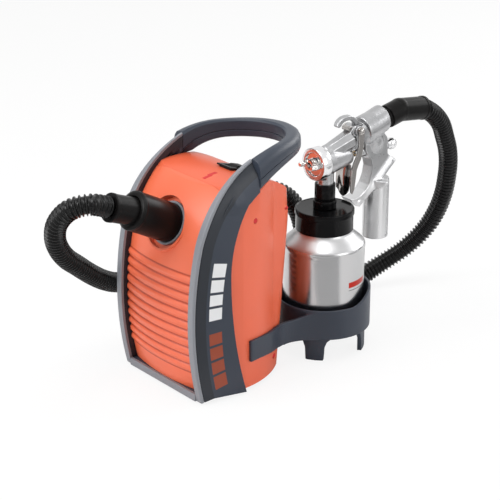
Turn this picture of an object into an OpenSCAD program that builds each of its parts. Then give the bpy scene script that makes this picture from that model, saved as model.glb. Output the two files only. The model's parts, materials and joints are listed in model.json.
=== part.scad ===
/* Turbine paint sprayer: a carried turbine unit with a handle, its ribbed air hose,
   and a cast gun whose cup stands in a holder at the back of the unit.
   Lengths are millimetres. +Z is up, the unit's front with the air outlet faces -Y,
   the cup holder is at +Y, and the floor is at z = 0. */

/* [Housing] */
// Half width of the housing at its widest
body_half_w = 78.5; // [74:0.5:82]
// Radius of the curved sides in plan
body_side_r = 113.5; // [105:0.5:125]
// Height of the roof's crest
roof_z = 253; // [248:1:258]
// Radius of the roof seen from the side
roof_r = 114; // [108:1:130]
// Radius of the rounded edges along the roof
roof_edge_r = 30; // [24:1:34]
// How far the rear wall stands behind the widest place
body_rear = 91; // [88:1:95]
// Thickness of the moulded walls
wall = 2.5; // [2:0.1:3.2]
// Height of the housing's lower edge above the floor
body_z0 = 5; // [4:0.5:7]

/* [Front panel] */
// Half width of the ribbed front panel
panel_half_w = 63; // [58:0.5:63.4]
// How far the panel lies behind the front edge of the frame
panel_recess = 3; // [2:0.5:6]
// Radius of the panel's bow in plan
panel_bow_r = 276; // [240:2:340]
// Number of ribs across the panel
rib_count = 11; // [6:1:11]
// Height of the lowest rib
rib_z0 = 40; // [36:1:46]
// Distance from one rib to the next
rib_pitch = 11; // [10:0.5:11.5]
// Radius of a rib's round back
rib_r = 6; // [5.6:0.1:7]
// How far a rib stands out of the panel
rib_rise = 2.4; // [1.5:0.1:3]

/* [Air outlet] */
// Height of the outlet's centre on the panel
port_z = 203; // [198:1:206]
// Tilt of the outlet above level
port_tilt = 28; // [22:1:32]
// Radius of the round recess
port_r = 31; // [29:0.5:33]
// Depth of the recess
port_depth = 9; // [7:0.5:12]
// Outer radius of the collar
collar_r = 26; // [25:0.2:27.4]
// Radius of the hose sleeve
sleeve_r = 23; // [21:0.2:23.6]
// How far the sleeve stands out of the panel
sleeve_out = 52; // [46:1:56]
// Wall of the sleeve
sleeve_wall = 3; // [2.4:0.1:3.4]

/* [Frame and handle] */
// Height of the frame's lower edge
frame_z0 = 2; // [1.5:0.5:3]
// Front radius of the side bands, lower part
band_low_r = 390; // [370:5:420]
// Front radius of the side bands, upper part
band_top_r = 131; // [129:0.5:133]
// Height of the handle's top
handle_z = 286; // [284:0.5:288]
// Half width across the front edges of the bands
band_half_w = 74; // [72:0.5:75]
// Half width across the rear edges of the bands
band_rear_w = 82; // [81.6:0.2:84]
// Width of the front trim strips
trim_w = 4; // [3:0.25:5]
// Width of the chamfer beside the trim
chamfer_w = 16; // [13.5:0.5:18]
// Height of the lower cross bar
bar_h = 9; // [7:0.5:11]
// How far the handle reaches behind the widest place of the unit
handle_reach = 136.5; // [133:0.5:139]
// Thickness of the handle at its rear grip
grip_t = 22; // [18:0.5:25]
// Height of the handle's section at its rear grip
grip_h = 23; // [20:0.5:26]

/* [Switch] */
// Width of the switch bezel
switch_w = 22; // [18:1:26]
// Length of the switch bezel
switch_l = 30; // [26:1:34]
// Swing of the rocker
rocker_swing = 18; // [12:1:22]

/* [Turbine] */
// Radius of the turbine can
can_r = 48.5; // [46:0.5:49]
// Height of the turbine can
can_h = 44; // [42:1:45]
// Height of the can's lower face
can_z = 150; // [148:1:154]
// Radius of the impellers
fan_r = 43; // [38:0.5:43.5]
// Number of impeller vanes
vane_count = 9; // [6:1:12]
// Radius of the motor's shaft
shaft_r = 4; // [3:0.25:5]
// Radius of the motor's frame
motor_r = 40; // [38:0.5:42]
// Radius of the armature
armature_r = 22; // [18:0.5:23]
// Radius of the bearings
bearing_r = 11; // [9:0.5:12]

/* [Filter] */
// Width of the filter cover
filter_w = 66; // [56:1:70]
// Height of the filter cover
filter_h = 86; // [70:1:92]
// Number of louvres in the filter cover
louvre_count = 9; // [5:1:10]

/* [Cup and holder] */
// Radius of the cup
cup_r = 50; // [46:0.5:50.6]
// Height of the cup's straight wall above its seat
cup_h = 103; // [96:1:104]
// Wall of the cup
cup_wall = 1.2; // [1:0.1:2]
// Radius of the cup's neck
neck_r = 33.5; // [31:0.5:34]
// Wall of the lid's skirt
lid_wall = 2.2; // [1.8:0.1:3]
// Height of the lid
lid_h = 27; // [24:0.5:28]
// Radius of the holder's wall
tray_r = 58; // [57:0.5:60]
// Thickness of the holder's wall
tray_wall = 3; // [2.5:0.25:4]
// Height of the holder's floor above the ground
tray_z = 30; // [28:0.5:32]
// Height of the holder's wall at its front
tray_h = 38; // [32:1:42]
// Rise of the holder's rim from front to rear
tray_rise = 12; // [0:0.5:14]
// Height of the holder's arm at its front end
arm_h = 26; // [20:1:28]
// Thickness of the holder's arm
arm_t = 4.5; // [3.5:0.25:6]

/* [Gun] */
// Height of the spray axis
gun_z = 238; // [236:0.5:240]
// Radius of the air cap's ring
ring_r = 20; // [18:0.25:20.5]
// Length of the air cap's ring
ring_l = 14; // [12:0.5:15]
// Thickness of the cast body
gun_t = 18; // [16:0.5:18.4]
// Radius of the grip
handle_r = 16; // [14:0.25:17]
// Height of the grip's lower end
handle_z0 = 123; // [118:1:128]
// Radius of the air inlet on the gun
inlet_r = 17; // [15.5:0.25:18]
// Tilt of the air inlet
inlet_tilt = 12; // [8:0.5:16]
// Radius of the needle
needle_r = 1.5; // [1.2:0.1:1.8]
// Thickness of a trigger arm
trigger_t = 2.6; // [2:0.1:3.4]
// Radius of the trigger's pin
pin_r = 2.5; // [2:0.1:3]
// Radius of the neck between gun and lid
stem_r = 12.5; // [11.5:0.25:13]

/* [Hose] */
// Outer radius over the hose's ribs
hose_r = 12.5; // [11:0.25:13]
// Radius between the ribs
hose_root_r = 10.2; // [10:0.1:11.4]
// Radius of the hose's bore
hose_bore_r = 9.2; // [8.5:0.1:9.6]
// Number of ribs on the hose
hose_ribs = 190; // [60:1:200]
// Radius of the cuffs at the hose's ends
cuff_r = 14.4; // [13.8:0.1:15]

/* [Clearances] */
// Gap between pieces of different bodies
gap = 0.3; // [0.2:0.05:0.4]
// Radial running clearance of shafts and pins
running = 0.05; // [0.03:0.01:0.09]
// Gap between fixed pieces that are pressed together
seat = 0.02; // [0:0.01:0.05]

/* [Hidden] */

$fn = 72;
edge_fn = 32;
big = 400;
far = 200;

// Where the unit and the cup stand, so that the origin is under the middle of the set
unit_x = -6.5;
unit_y = -91;
cup_x = 28;
cup_y = 60;

// Places inside the unit, measured from its own middle
widest_y = -12;
side_cx = body_half_w - body_side_r;
rear_y = widest_y + body_rear;
rear_bow_r = 85;
seam_y = -26;
flare = (body_half_w - band_half_w + 3) / 60;

// Front edge of the side bands: a large low arc that runs into a smaller one at the top
bulge_y = -81;
bulge_z = 97;
low_cy = bulge_y + band_low_r;
top_cz = handle_z - band_top_r;
turn_z = 192;
turn_y = low_cy - sqrt(pow(band_low_r, 2) - pow(turn_z - bulge_z, 2));
top_cy = turn_y + sqrt(pow(band_top_r, 2) - pow(turn_z - top_cz, 2));
joint_y = 12;

// Rear edge of the side bands: three arcs
back_r = 500;
back_y = -31.5;
back_z = 150;
elbow_r = 140;
elbow_z = 232;
under_cy = 85;
under_z = handle_z - grip_h + 1;

bow_cy = bulge_y + panel_recess + panel_bow_r;
side_depth = 14;
motor_y = 11;

// ---------- shared shapes ----------

module at_unit() {
    translate([unit_x, unit_y, 0]) children();
}

module at_cup() {
    translate([cup_x, cup_y, 0]) children();
}

// Mirrors its children across the unit's middle plane as well
module both_sides() {
    children();
    mirror([1, 0, 0]) children();
}

// A rod along Y at a height
module rod_y(y0, y1, r, z = 0, fn = 48) {
    translate([0, y0, z]) rotate([-90, 0, 0]) cylinder(h = y1 - y0, r = r, $fn = fn);
}

// A rod along X
module rod_x(x0, x1, r, fn = 48) {
    translate([x0, 0, 0]) rotate([0, 90, 0]) cylinder(h = x1 - x0, r = r, $fn = fn);
}

// Turns a profile drawn as (y, z) into a slab across X
module slab(half) {
    translate([-half, 0, 0]) rotate([90, 0, 90]) linear_extrude(height = 2 * half) children();
}

module tube(h, r, bore) {
    difference() {
        cylinder(h = h, r = r);
        translate([0, 0, -1]) cylinder(h = h + 2, r = bore);
    }
}

// A closed skin over rings of points, all rings with the same count
module loft(rings) {
    n = len(rings[0]);
    m = len(rings);
    points = [for (ring = rings) for (p = ring) p];
    sides = [for (i = [0:m - 2]) for (j = [0:n - 1]) for (half = [0, 1])
        let (a = i * n + j, b = i * n + (j + 1) % n, c = b + n, d = a + n)
            half == 0 ? [a, b, c] : [a, c, d]];
    first = [for (j = [1:n - 2]) [0, j + 1, j]];
    last = [for (j = [1:n - 2]) [(m - 1) * n, (m - 1) * n + j, (m - 1) * n + j + 1]];
    polyhedron(points = points, faces = concat(sides, first, last), convexity = 10);
}

function mix(a, b, t) = a + (b - a) * t;

// ---------- housing ----------

// Half width of the housing at a depth, and where the rounded roof edge cuts it
function side_x(y) = y < widest_y
    ? body_half_w - (widest_y - y) * flare
    : side_cx + sqrt(pow(body_side_r, 2) - pow(y - widest_y, 2));
edge_out = 1;
edge_up = 3;
edge_z = roof_z + edge_up - roof_edge_r;
function round_x(z) = z < edge_z ? big
    : z > edge_z + roof_edge_r ? 0
    : body_half_w + edge_out - roof_edge_r + sqrt(pow(roof_edge_r, 2) - pow(z - edge_z, 2));
function roof_height(y) = roof_z - roof_r + sqrt(pow(roof_r, 2) - pow(y - 2, 2));
function skin_x(y, z) = z > roof_height(y) + 2 ? 0 : min(side_x(y), round_x(z));

module plan(inset) {
    intersection() {
        translate([side_cx, widest_y]) circle(r = body_side_r - inset, $fn = 180);
        translate([-side_cx, widest_y]) circle(r = body_side_r - inset, $fn = 180);
        translate([0, rear_y - rear_bow_r]) circle(r = rear_bow_r - inset, $fn = 120);
        translate([-far, widest_y]) square([2 * far, far]);
    }
    polygon([
        [side_x(-90) - inset, -90], [body_half_w - inset, widest_y],
        [body_half_w - inset, widest_y + 0.01], [inset - body_half_w, widest_y + 0.01],
        [inset - body_half_w, widest_y], [inset - side_x(-90), -90]
    ]);
}

module roof_side(inset) {
    translate([2, roof_z - roof_r]) circle(r = roof_r - inset, $fn = 180);
    translate([-far, body_z0]) square([2 * far, roof_z - roof_r - body_z0]);
}

module roof_front(inset) {
    w = body_half_w + edge_out - roof_edge_r;
    translate([-w, 0]) square([2 * w, edge_z + roof_edge_r - inset]);
    translate([-far, 0]) square([2 * far, edge_z]);
    for (s = [-1, 1]) translate([s * w, edge_z]) circle(r = roof_edge_r - inset);
}

// Bowed front surface, turned about a far upright axis
module bow(inset) {
    cut = panel_recess + inset;
    translate([0, bow_cy, 0]) rotate_extrude($fn = 180) {
        intersection() {
            translate([bow_cy - low_cy, bulge_z]) circle(r = band_low_r - cut, $fn = 360);
            square([big, turn_z]);
        }
        intersection() {
            translate([bow_cy - top_cy, top_cz]) circle(r = band_top_r - cut, $fn = 180);
            translate([bow_cy - top_cy, turn_z - 1]) square([far, far]);
        }
        translate([0, turn_z - 1]) square([bow_cy - top_cy, far / 2]);
    }
}

module body_form(inset) {
    intersection() {
        translate([0, 0, body_z0]) linear_extrude(height = big) plan(inset);
        slab(far) roof_side(inset);
        translate([0, far, 0]) rotate([90, 0, 0]) linear_extrude(height = 2 * far)
            roof_front(inset);
        bow(inset);
    }
}

// The front edge curve of the bands, set back by a distance, as a region of (y, z)
module front_region(inset) {
    intersection() {
        translate([low_cy, bulge_z]) circle(r = band_low_r - inset, $fn = 360);
        translate([-far, -1]) square([2 * far, turn_z + 1]);
    }
    intersection() {
        translate([top_cy, top_cz]) circle(r = band_top_r - inset, $fn = 180);
        translate([-far, turn_z - 1]) square([far + top_cy, far]);
    }
    translate([top_cy - 0.01, turn_z - 1]) square([far, handle_z - inset - turn_z + 1]);
}

filter_z = 62;
duct_depth = 18;
filter_edge = 3;
boss_r = 4;
screw_r = 1.8;
screw_head_r = 3.4;

// Screws that close the housing: depth, height
side_screws = [[8, 209], [58, 207], [50, 22]];

module side_screw_places() {
    for (p = side_screws) translate([0, p[0], p[1]]) children();
}

slot_l = 20;
slot_w = 4;

module latch_slot() {
    translate([17.5, seam_y + 5, roof_z - 8]) {
        cube([slot_w, slot_l * 0.55, 20]);
        translate([-slot_w / 2, slot_l * 0.45, 0]) cube([slot_w, slot_l * 0.55, 20]);
    }
}

switch_y = 32;
switch_x = 10;
switch_lean = asin((switch_y - 2) / roof_r);
switch_z = roof_z - roof_r + sqrt(pow(roof_r, 2) - pow(switch_y - 2, 2));

module at_switch() {
    at_unit() translate([switch_x, switch_y, switch_z]) rotate([-switch_lean, 0, 0]) children();
}

gland_z = 26;
gland_r = 8;

// Three posts under the roof that press on the turbine through rubber pucks
puck_h = 8;
post_r = 5;

module at_posts() {
    for (a = [0:120:240]) rotate([0, 0, a]) translate([can_r * 0.74, 0, 0]) children();
}

module rear_housing() {
    color("coral") {
        intersection() {
            at_unit() translate([0, motor_y, 0]) at_posts()
                translate([0, 0, can_z + can_h + puck_h]) cylinder(h = far, r = post_r);
            at_unit() body_form(wall - 0.01);
        }
        difference() {
            at_unit() difference() {
                body_form(0);
                body_form(wall);
                // the front panel's place
                translate([-panel_half_w - gap, -far, 0])
                    cube([2 * (panel_half_w + gap), far + seam_y + gap, big]);
                // the bands' place along the front edges
                both_sides() translate([panel_half_w, 0, 0]) difference() {
                    translate([0, -far, 0]) cube([far, far + 60, big]);
                    slab(far) front_region(side_depth);
                }
                // the filter's window
                translate([-filter_w / 2 - gap, 0, filter_z - gap])
                    cube([filter_w + 2 * gap, far, filter_h + 2 * gap]);
                latch_slot();
                translate([0, 0, gland_z]) rod_y(0, far, gland_r);
                both_sides() side_screw_places() rod_x(0, far, screw_head_r);
            }
            at_switch() translate([-switch_w / 2, -switch_l / 2, -20])
                cube([switch_w, switch_l, 40]);
            holder_holes();
        }
        // the duct that holds the filter
        at_unit() difference() {
            intersection() {
                translate([-filter_w / 2 - gap - wall, rear_y - duct_depth, filter_z - gap - wall])
                    cube([filter_w + 2 * (gap + wall), far, filter_h + 2 * (gap + wall)]);
                body_form(wall - 0.01);
            }
            translate([-filter_w / 2 - gap, 0, filter_z - gap])
                cube([filter_w + 2 * gap, far, filter_h + 2 * gap]);
        }
    }
}

module rib_profile() {
    for (i = [0:rib_count - 1])
        let (z = rib_z0 + i * rib_pitch,
             a = asin((z - bulge_z) / (band_low_r - panel_recess)),
             d = band_low_r - panel_recess - rib_r + rib_rise)
            translate([bow_cy - low_cy + d * cos(a), bulge_z + d * sin(a)])
                circle(r = rib_r, $fn = 40);
}

port_y = bow_cy - (bow_cy - low_cy) - band_low_r + panel_recess
    + (band_low_r - panel_recess) * (1 - cos(asin((turn_z - bulge_z) / band_low_r)))
    + (port_z - turn_z) * tan(port_tilt - 6);

module at_port() {
    at_unit() translate([0, port_y, port_z]) rotate([90 - port_tilt, 0, 0]) children();
}

module front_panel() {
    color("coral") difference() {
        union() {
            difference() {
                at_unit() intersection() {
                    union() {
                        body_form(0);
                        translate([0, bow_cy, 0]) rotate_extrude($fn = 180) rib_profile();
                    }
                    translate([-panel_half_w, -far, bar_h + frame_z0 + gap])
                        cube([2 * panel_half_w, far + seam_y, big]);
                }
                at_unit() body_form(wall);
                at_port() translate([0, 0, -port_depth - 1]) cylinder(h = 40, r = port_r);
            }
            at_port() translate([0, 0, -port_depth - wall])
                difference() {
                    cylinder(h = port_depth + wall - 2, r = port_r + wall);
                    translate([0, 0, wall]) cylinder(h = 40, r = port_r);
                }
        }
        at_port() translate([0, 0, -40]) cylinder(h = 80, r = collar_r);
    }
}

pedestal_r = 30;
pedestal_z = 42;
front_y0 = low_cy - sqrt(pow(band_low_r, 2) - pow(frame_z0 + bar_h - bulge_z, 2));

module base_plate() {
    color("dimgray") difference() {
        union() {
            at_unit() translate([0, 0, body_z0]) linear_extrude(height = 4) {
                intersection() {
                    plan(wall + gap);
                    translate([-far, front_y0 + side_depth + 4]) square([2 * far, far]);
                }
                translate([1 - panel_half_w, front_y0 + trim_w + 7.5]) square([2 * panel_half_w - 2, 20]);
            }
            at_unit() translate([0, motor_y, body_z0]) cylinder(h = pedestal_z - body_z0, r = pedestal_r);
        }
        at_unit() translate([0, motor_y, body_z0 + 4]) cylinder(h = big, r = pedestal_r - 4);
        at_unit() for (y = [-46:8:-30])
            translate([-40, y, 0]) cube([80, 3, 20]);
        at_unit() translate([-24, rear_y - 20, 0]) cube([48, 3, 20]);
    }
}

// ---------- frame ----------

lower_steps = 18;
upper_steps = 18;

// Points along the band, from the floor to the joint with the handle
turn_a = asin((top_cy - turn_y) / band_top_r);
joint_a = asin((top_cy - joint_y) / band_top_r);
function low_point(z) = [low_cy - sqrt(pow(band_low_r, 2) - pow(z - bulge_z, 2)), z];
function top_point(a) = [top_cy - band_top_r * sin(a), top_cz + band_top_r * cos(a)];
front_edge = concat(
    [for (i = [0:lower_steps]) low_point(mix(frame_z0, turn_z, i / lower_steps))],
    [for (i = [1:upper_steps]) top_point(mix(turn_a, joint_a, i / upper_steps))]);
function inward(i) = i <= lower_steps
    ? unit([low_cy, bulge_z] - front_edge[i])
    : unit([top_cy, top_cz] - front_edge[i]);
function unit(v) = v / norm(v);

elbow_cy = back_y + elbow_r;
under_cz = under_z - elbow_r;
function back_point(z) = z < back_z
    ? [back_y + back_r - sqrt(pow(back_r, 2) - pow(z - back_z, 2)), z]
    : [elbow_cy - sqrt(pow(elbow_r, 2) - pow(z - back_z, 2)), z];
function under_height(y) = y > under_cy ? under_z
    : under_cz + sqrt(pow(elbow_r, 2) - pow(y - under_cy, 2));
under_y0 = back_point(elbow_z)[0];
back_steps = lower_steps + upper_steps;
under_steps = 6;
rear_edge = [for (i = [0:back_steps]) i <= back_steps - under_steps
    ? back_point(mix(frame_z0, elbow_z, i / (back_steps - under_steps)))
    : let (y = mix(under_y0, joint_y, (i - back_steps + under_steps) / under_steps))
        [y, under_height(y)]];

arm_inner_x = 62;
return_x = panel_half_w + 1;
joint_front_x = 66;
joint_mid_x = 76.5;
joint_rear_x = 80.5;
// 0 along the straight band, 1 at the joint with the handle
function ease(t) = t <= 0 ? 0 : t * t * (3 - 2 * t);
function share(i, from) = ((i - lower_steps) / upper_steps - from) / (1 - from);
function rise(i) = ease(share(i, 0.15));
function outer_x(i, d) = d <= trim_w + 1 ? mix(band_half_w, joint_front_x, rise(i))
    : d < chamfer_w + 1 ? mix(band_half_w + 3.5, joint_mid_x, rise(i))
    : mix(band_rear_w, joint_rear_x, rise(i));
function inner_x(p, i) = max(mix(return_x, arm_inner_x, rise(i)),
    skin_x(p[0], p[1]) + gap + 1.2 * min(1, 2 * rise(i)));
function with_x(p, x) = [x, p[0], p[1]];

// Room for the housing's rounded edge between two rings
band_ease = 0.7;

// Square to the front edge, and turned into the joint's plane at the top
function across(i) = unit(mix(inward(i), unit(rear_edge[i] - front_edge[i]),
    max(0, share(i, 0.3))));
function band_ring(i) =
    let (f = front_edge[i], n = across(i), r = rear_edge[i], x0 = mix(return_x, arm_inner_x, rise(i)),
         front = f + (trim_w + gap) * n,
         step = f + (side_depth - 2 * gap - 4 * max(0, share(i, 0.3))) * n,
         ridge = f + chamfer_w * n,
         inner = [for (t = [1, 0.75, 0.5, 0.25]) mix(step, r, t)])
        concat(
            [with_x(front, x0),
             with_x(front, outer_x(i, 0)),
             with_x(ridge, outer_x(i, chamfer_w)),
             with_x(r, outer_x(i, big))],
            [for (p = inner) with_x(p, inner_x(p, i) + band_ease)],
            [with_x(step, inner_x(step, i) + band_ease), with_x(step, x0)]);

module band() {
    loft([for (i = [0:back_steps]) band_ring(i)]);
}

module trim_strip() {
    loft([for (i = [0:back_steps])
        let (f = front_edge[i], g = f + trim_w * across(i), x0 = mix(return_x, arm_inner_x, rise(i)))
            [with_x(f, x0), with_x(f, outer_x(i, 0) - 1.2), with_x(mix(f, g, 0.4), outer_x(i, 0)),
             with_x(g, outer_x(i, 0)), with_x(g, x0)]]);
}

module band_right() {
    color("slategray") at_unit() band();
}

module band_left() {
    color("slategray") at_unit() mirror([1, 0, 0]) band();
}

module trim_right() {
    color("darkgray") at_unit() trim_strip();
}

module trim_left() {
    color("darkgray") at_unit() mirror([1, 0, 0]) trim_strip();
}

module trim_bottom() {
    color("darkgray") at_unit() translate([-return_x + gap, front_y0, frame_z0])
        cube([2 * (return_x - gap), trim_w, bar_h]);
}

module cross_bar() {
    color("slategray") at_unit() translate([-return_x + gap, front_y0 + trim_w + 0.2, frame_z0])
        cube([2 * (return_x - gap), 7, bar_h]);
}

// The handle's loop: two halves that meet on a line around its side
loop_steps = 40;
handle_start = asin((joint_y + gap - widest_y) / handle_reach);
inner_reach = handle_reach + widest_y - joint_y - grip_t;
function loop_outer(t) =
    let (a = mix(handle_start, 180 - handle_start, t))
        [joint_rear_x / cos(handle_start) * cos(a), widest_y + handle_reach * sin(a)];
function loop_inner(t) =
    let (a = 180 * t)
        [arm_inner_x * cos(a), joint_y + gap + inner_reach * sin(a)];
function top_height(y) = y > top_cy ? handle_z
    : top_cz + sqrt(pow(band_top_r, 2) - pow(y - top_cy, 2));
// A point of the section: share of the way out, and share of the way up
function loop_point(t, out, up) =
    let (o = loop_outer(t), i = loop_inner(t), p = mix(i, o, out),
         lo = under_height(o[1]), hi = top_height(i[1]), z = mix(lo, hi, up),
         clear = min(skin_x(p[1], z) + gap + band_ease + 1, joint_rear_x))
        [sign(p[0]) * max(abs(p[0]), clear * near_roof(t)), p[1], z];
// 1 beside the roof at the loop's two ends, 0 elsewhere
function near_roof(t) = t < 0.2 || t > 0.8 ? 1 : 0;
part_up = 0.42;
part_gap = 0.025;
upper_section = [[0, part_up], [0, 0.9], [0.12, 1], [0.4, 1], [0.68, 0.95], [0.88, 0.82],
    [0.98, 0.64], [1, part_up]];
lower_section = [[1, part_up - part_gap], [1, 0.2], [0.93, 0.07], [0.8, 0], [0.14, 0], [0, 0.08],
    [0, part_up - part_gap]];

module handle_upper() {
    color("slategray") at_unit() loft([for (k = [loop_steps:-1:0])
        [for (s = upper_section) loop_point(k / loop_steps, s[0], s[1])]]);
}

module handle_lower() {
    color("slategray") at_unit() loft([for (k = [loop_steps:-1:0])
        [for (s = lower_section) loop_point(k / loop_steps, s[0], s[1])]]);
}

// ---------- air outlet ----------

collar_in = 12;

module outlet_collar() {
    color("silver") at_port() translate([0, 0, -port_depth - collar_in])
        difference() {
            union() {
                cylinder(h = collar_in + 4, r = collar_r - seat);
                cylinder(h = collar_in - wall - seat, r = collar_r + 3);
            }
            translate([0, 0, -1]) cylinder(h = collar_in + 10, r = sleeve_r + seat);
        }
}

module outlet_seal() {
    color("black") at_port() translate([0, 0, -port_depth - collar_in - 3]) tube(3, collar_r, 19);
}

duct_r = 19;

module outlet_duct() {
    color("dimgray") intersection() {
        at_port() translate([0, 0, -port_depth - collar_in - 3 - 34]) tube(34, duct_r, duct_r - 2.5);
        at_unit() translate([0, motor_y, 0]) difference() {
            cylinder(h = big, r = far);
            translate([0, 0, -1]) cylinder(h = big + 2, r = can_r + seat);
        }
    }
}

// The gun's inlet and the elbow behind it, measured from the cup's axis
inlet_l = 42;
inlet_y = 58;
inlet_z = gun_z + 27;
elbow_out = 64;
elbow_at = [cup_x, cup_y + inlet_y + elbow_out * cos(inlet_tilt), inlet_z + elbow_out * sin(inlet_tilt)];

// Hose ends, as points of the hose's route
hose_start = [-6, -229, 238];
hose_end = [28, 222, 273];
swivel = 42;
swivel_at = [unit_x, unit_y + port_y - swivel * cos(port_tilt), port_z + swivel * sin(port_tilt)];

module hose_sleeve() {
    color([0.12, 0.12, 0.12]) at_port() translate([0, 0, -port_depth - collar_in])
        difference() {
            cylinder(h = port_depth + collar_in + sleeve_out, r = sleeve_r);
            translate([0, 0, -1])
                cylinder(h = port_depth + collar_in + sleeve_out - 5, r = sleeve_r - sleeve_wall);
            cylinder(h = far, r = cuff_r + 1.6);
        }
}

// Stands its children's +Z along the line from one point to another
module aim(from, to) {
    d = to - from;
    translate(from) rotate([0, acos(d[2] / norm(d)), atan2(d[1], d[0])]) children();
}

module hose_cuff() {
    length = norm(hose_start - swivel_at);
    color([0.1, 0.1, 0.1]) aim(swivel_at, hose_start) difference() {
        union() {
            cylinder(h = length, r = cuff_r);
            translate([0, 0, -4]) cylinder(h = 6, r = cuff_r + 3);
        }
        translate([0, 0, -5]) cylinder(h = length + 10, r = hose_bore_r);
    }
}

// ---------- hose ----------

// Points that the hose follows from the unit to the gun
route = [
    hose_start, [-8, -252, 246], [-22, -270, 240], [-39, -276, 221], [-53, -271, 198],
    [-64, -259, 177], [-74, -243, 159], [-82, -225, 144], [-91, -207, 129], [-99, -189, 115],
    [-108, -170, 102], [-116, -149, 91], [-122, -126, 85], [-126, -102, 87], [-126, -79, 95],
    [-122, -58, 107], [-116, -39, 121], [-108, -20, 135], [-99, -1, 149], [-89, 18, 162],
    [-78, 38, 172], [-66, 59, 175], [-57, 77, 163], [-52, 89, 142], [-51, 96, 118], [-52, 103, 95],
    [-54, 112, 72], [-57, 124, 52], [-61, 140, 33], [-65, 161, 20], [-68, 185, 13.5],
    [-68, 210, 15], [-64, 233, 24.5], [-56, 254, 36], [-45, 271, 50], [-34, 285, 67],
    [-24, 296, 87], [-15, 302, 110], [-8, 304, 133], [-1, 301, 157], [6, 295, 180], [12, 286, 202],
    [17, 274, 223], [22, 261, 243], [26, 243, 260], hose_end
];

// A smooth curve through the route's points
function spline(p, i, t) =
    let (a = p[max(i - 1, 0)], b = p[i], c = p[i + 1], d = p[min(i + 2, len(p) - 1)])
        0.5 * (2 * b + (c - a) * t + (2 * a - 5 * b + 4 * c - d) * t * t
            + (3 * b - a - 3 * c + d) * t * t * t);
fine_steps = 12;
fine = concat([for (i = [0:len(route) - 2]) for (k = [0:fine_steps - 1])
    spline(route, i, k / fine_steps)], [route[len(route) - 1]]);
function sums(v, i = 0, s = 0, out = []) = i >= len(v) ? out
    : sums(v, i + 1, s + v[i], concat(out, [s + v[i]]));
travel = concat([0], sums([for (i = [0:len(fine) - 2]) norm(fine[i + 1] - fine[i])]));
hose_length = travel[len(travel) - 1];
function seek(s, lo, hi) = hi - lo <= 1 ? lo
    : let (mid = floor((lo + hi) / 2)) travel[mid] <= s ? seek(s, mid, hi) : seek(s, lo, mid);
function on_route(s) =
    let (c = min(max(s, 0), hose_length), i = seek(c, 0, len(travel) - 1))
        mix(fine[i], fine[i + 1], (c - travel[i]) / (travel[i + 1] - travel[i]));
end_straight = 2 * hose_r;
start_dir = unit(hose_start - swivel_at);
end_dir = unit(hose_end - elbow_at);
function heading(s) = s < end_straight / 4 ? start_dir
    : s > hose_length - end_straight / 4 ? -end_dir
    : unit(on_route(s + 3) - on_route(s - 3));

hose_sides = 8;
// Rings at the root and the crest of every rib, as distances and radii
rib_step = (hose_length - 2 * end_straight * 0.2) / hose_ribs;
stations = concat([[0, hose_root_r]],
    [for (i = [0:hose_ribs - 1]) for (k = [0, 1])
        [end_straight * 0.2 + (i + 0.25 + k * 0.5) * rib_step, k == 0 ? hose_root_r : hose_r]],
    [[hose_length, hose_root_r]]);

// Carries a sideways direction along the hose without twisting it
function carried(k, side, out = []) = k >= len(stations) ? out
    : let (d = heading(stations[k][0]), v = unit(side - (side * d) * d))
        carried(k + 1, v, concat(out, [v]));
frames = carried(0, [1, 0, 0]);
function hose_ring(k, r) =
    let (s = stations[k][0], d = heading(s), u = frames[k], w = cross(d, u), c = on_route(s))
        [for (j = [0:hose_sides - 1])
            let (a = 360 * (j + 0.5) / hose_sides) c + r * (cos(a) * u + sin(a) * w)];

// Least gap between two stretches of the hose that are not neighbours
sample_step = 12;
apart = [for (i = [0:sample_step:len(fine) - 1]) for (j = [i + sample_step * 3:sample_step:len(fine) - 1])
    norm(fine[i] - fine[j]) - 2 * hose_r];
echo(hose_length = hose_length, least_gap_to_itself = min(apart), rib_pitch = rib_step);

// A ribbed tube with its bore: the outer skin, the bore's skin, and a ring at each end
module air_hose() {
    n = hose_sides;
    m = len(stations);
    outer = [for (k = [0:m - 1]) for (p = hose_ring(k, stations[k][1])) p];
    bore_every = 12;
    bore_at = concat([for (k = [0:bore_every:m - 2]) k], [m - 1]);
    inner = [for (k = bore_at) for (p = hose_ring(k, hose_bore_r)) p];
    b = len(bore_at);
    skin = [for (i = [0:m - 2]) for (j = [0:n - 1]) for (h = [0, 1])
        let (p = i * n + j, q = i * n + (j + 1) % n)
            h == 0 ? [p, q + n, q] : [p, p + n, q + n]];
    lining = [for (i = [0:b - 2]) for (j = [0:n - 1]) for (h = [0, 1])
        let (p = m * n + i * n + j, q = m * n + i * n + (j + 1) % n)
            h == 0 ? [p, q, q + n] : [p, q + n, p + n]];
    first = [for (j = [0:n - 1]) for (h = [0, 1])
        let (p = j, q = (j + 1) % n) h == 0 ? [p, q, q + m * n] : [p, q + m * n, p + m * n]];
    o = (m - 1) * n;
    c = m * n + (b - 1) * n;
    last = [for (j = [0:n - 1]) for (h = [0, 1])
        let (p = j, q = (j + 1) % n) h == 0 ? [o + p, c + q, o + q] : [o + p, c + p, c + q]];
    color([0.08, 0.08, 0.08])
        polyhedron(points = concat(outer, inner), faces = concat(skin, lining, first, last),
            convexity = 20);
}

// ---------- switch ----------

rocker_axis_z = -1;
rocker_half = switch_l / 2 - 4;

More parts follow.
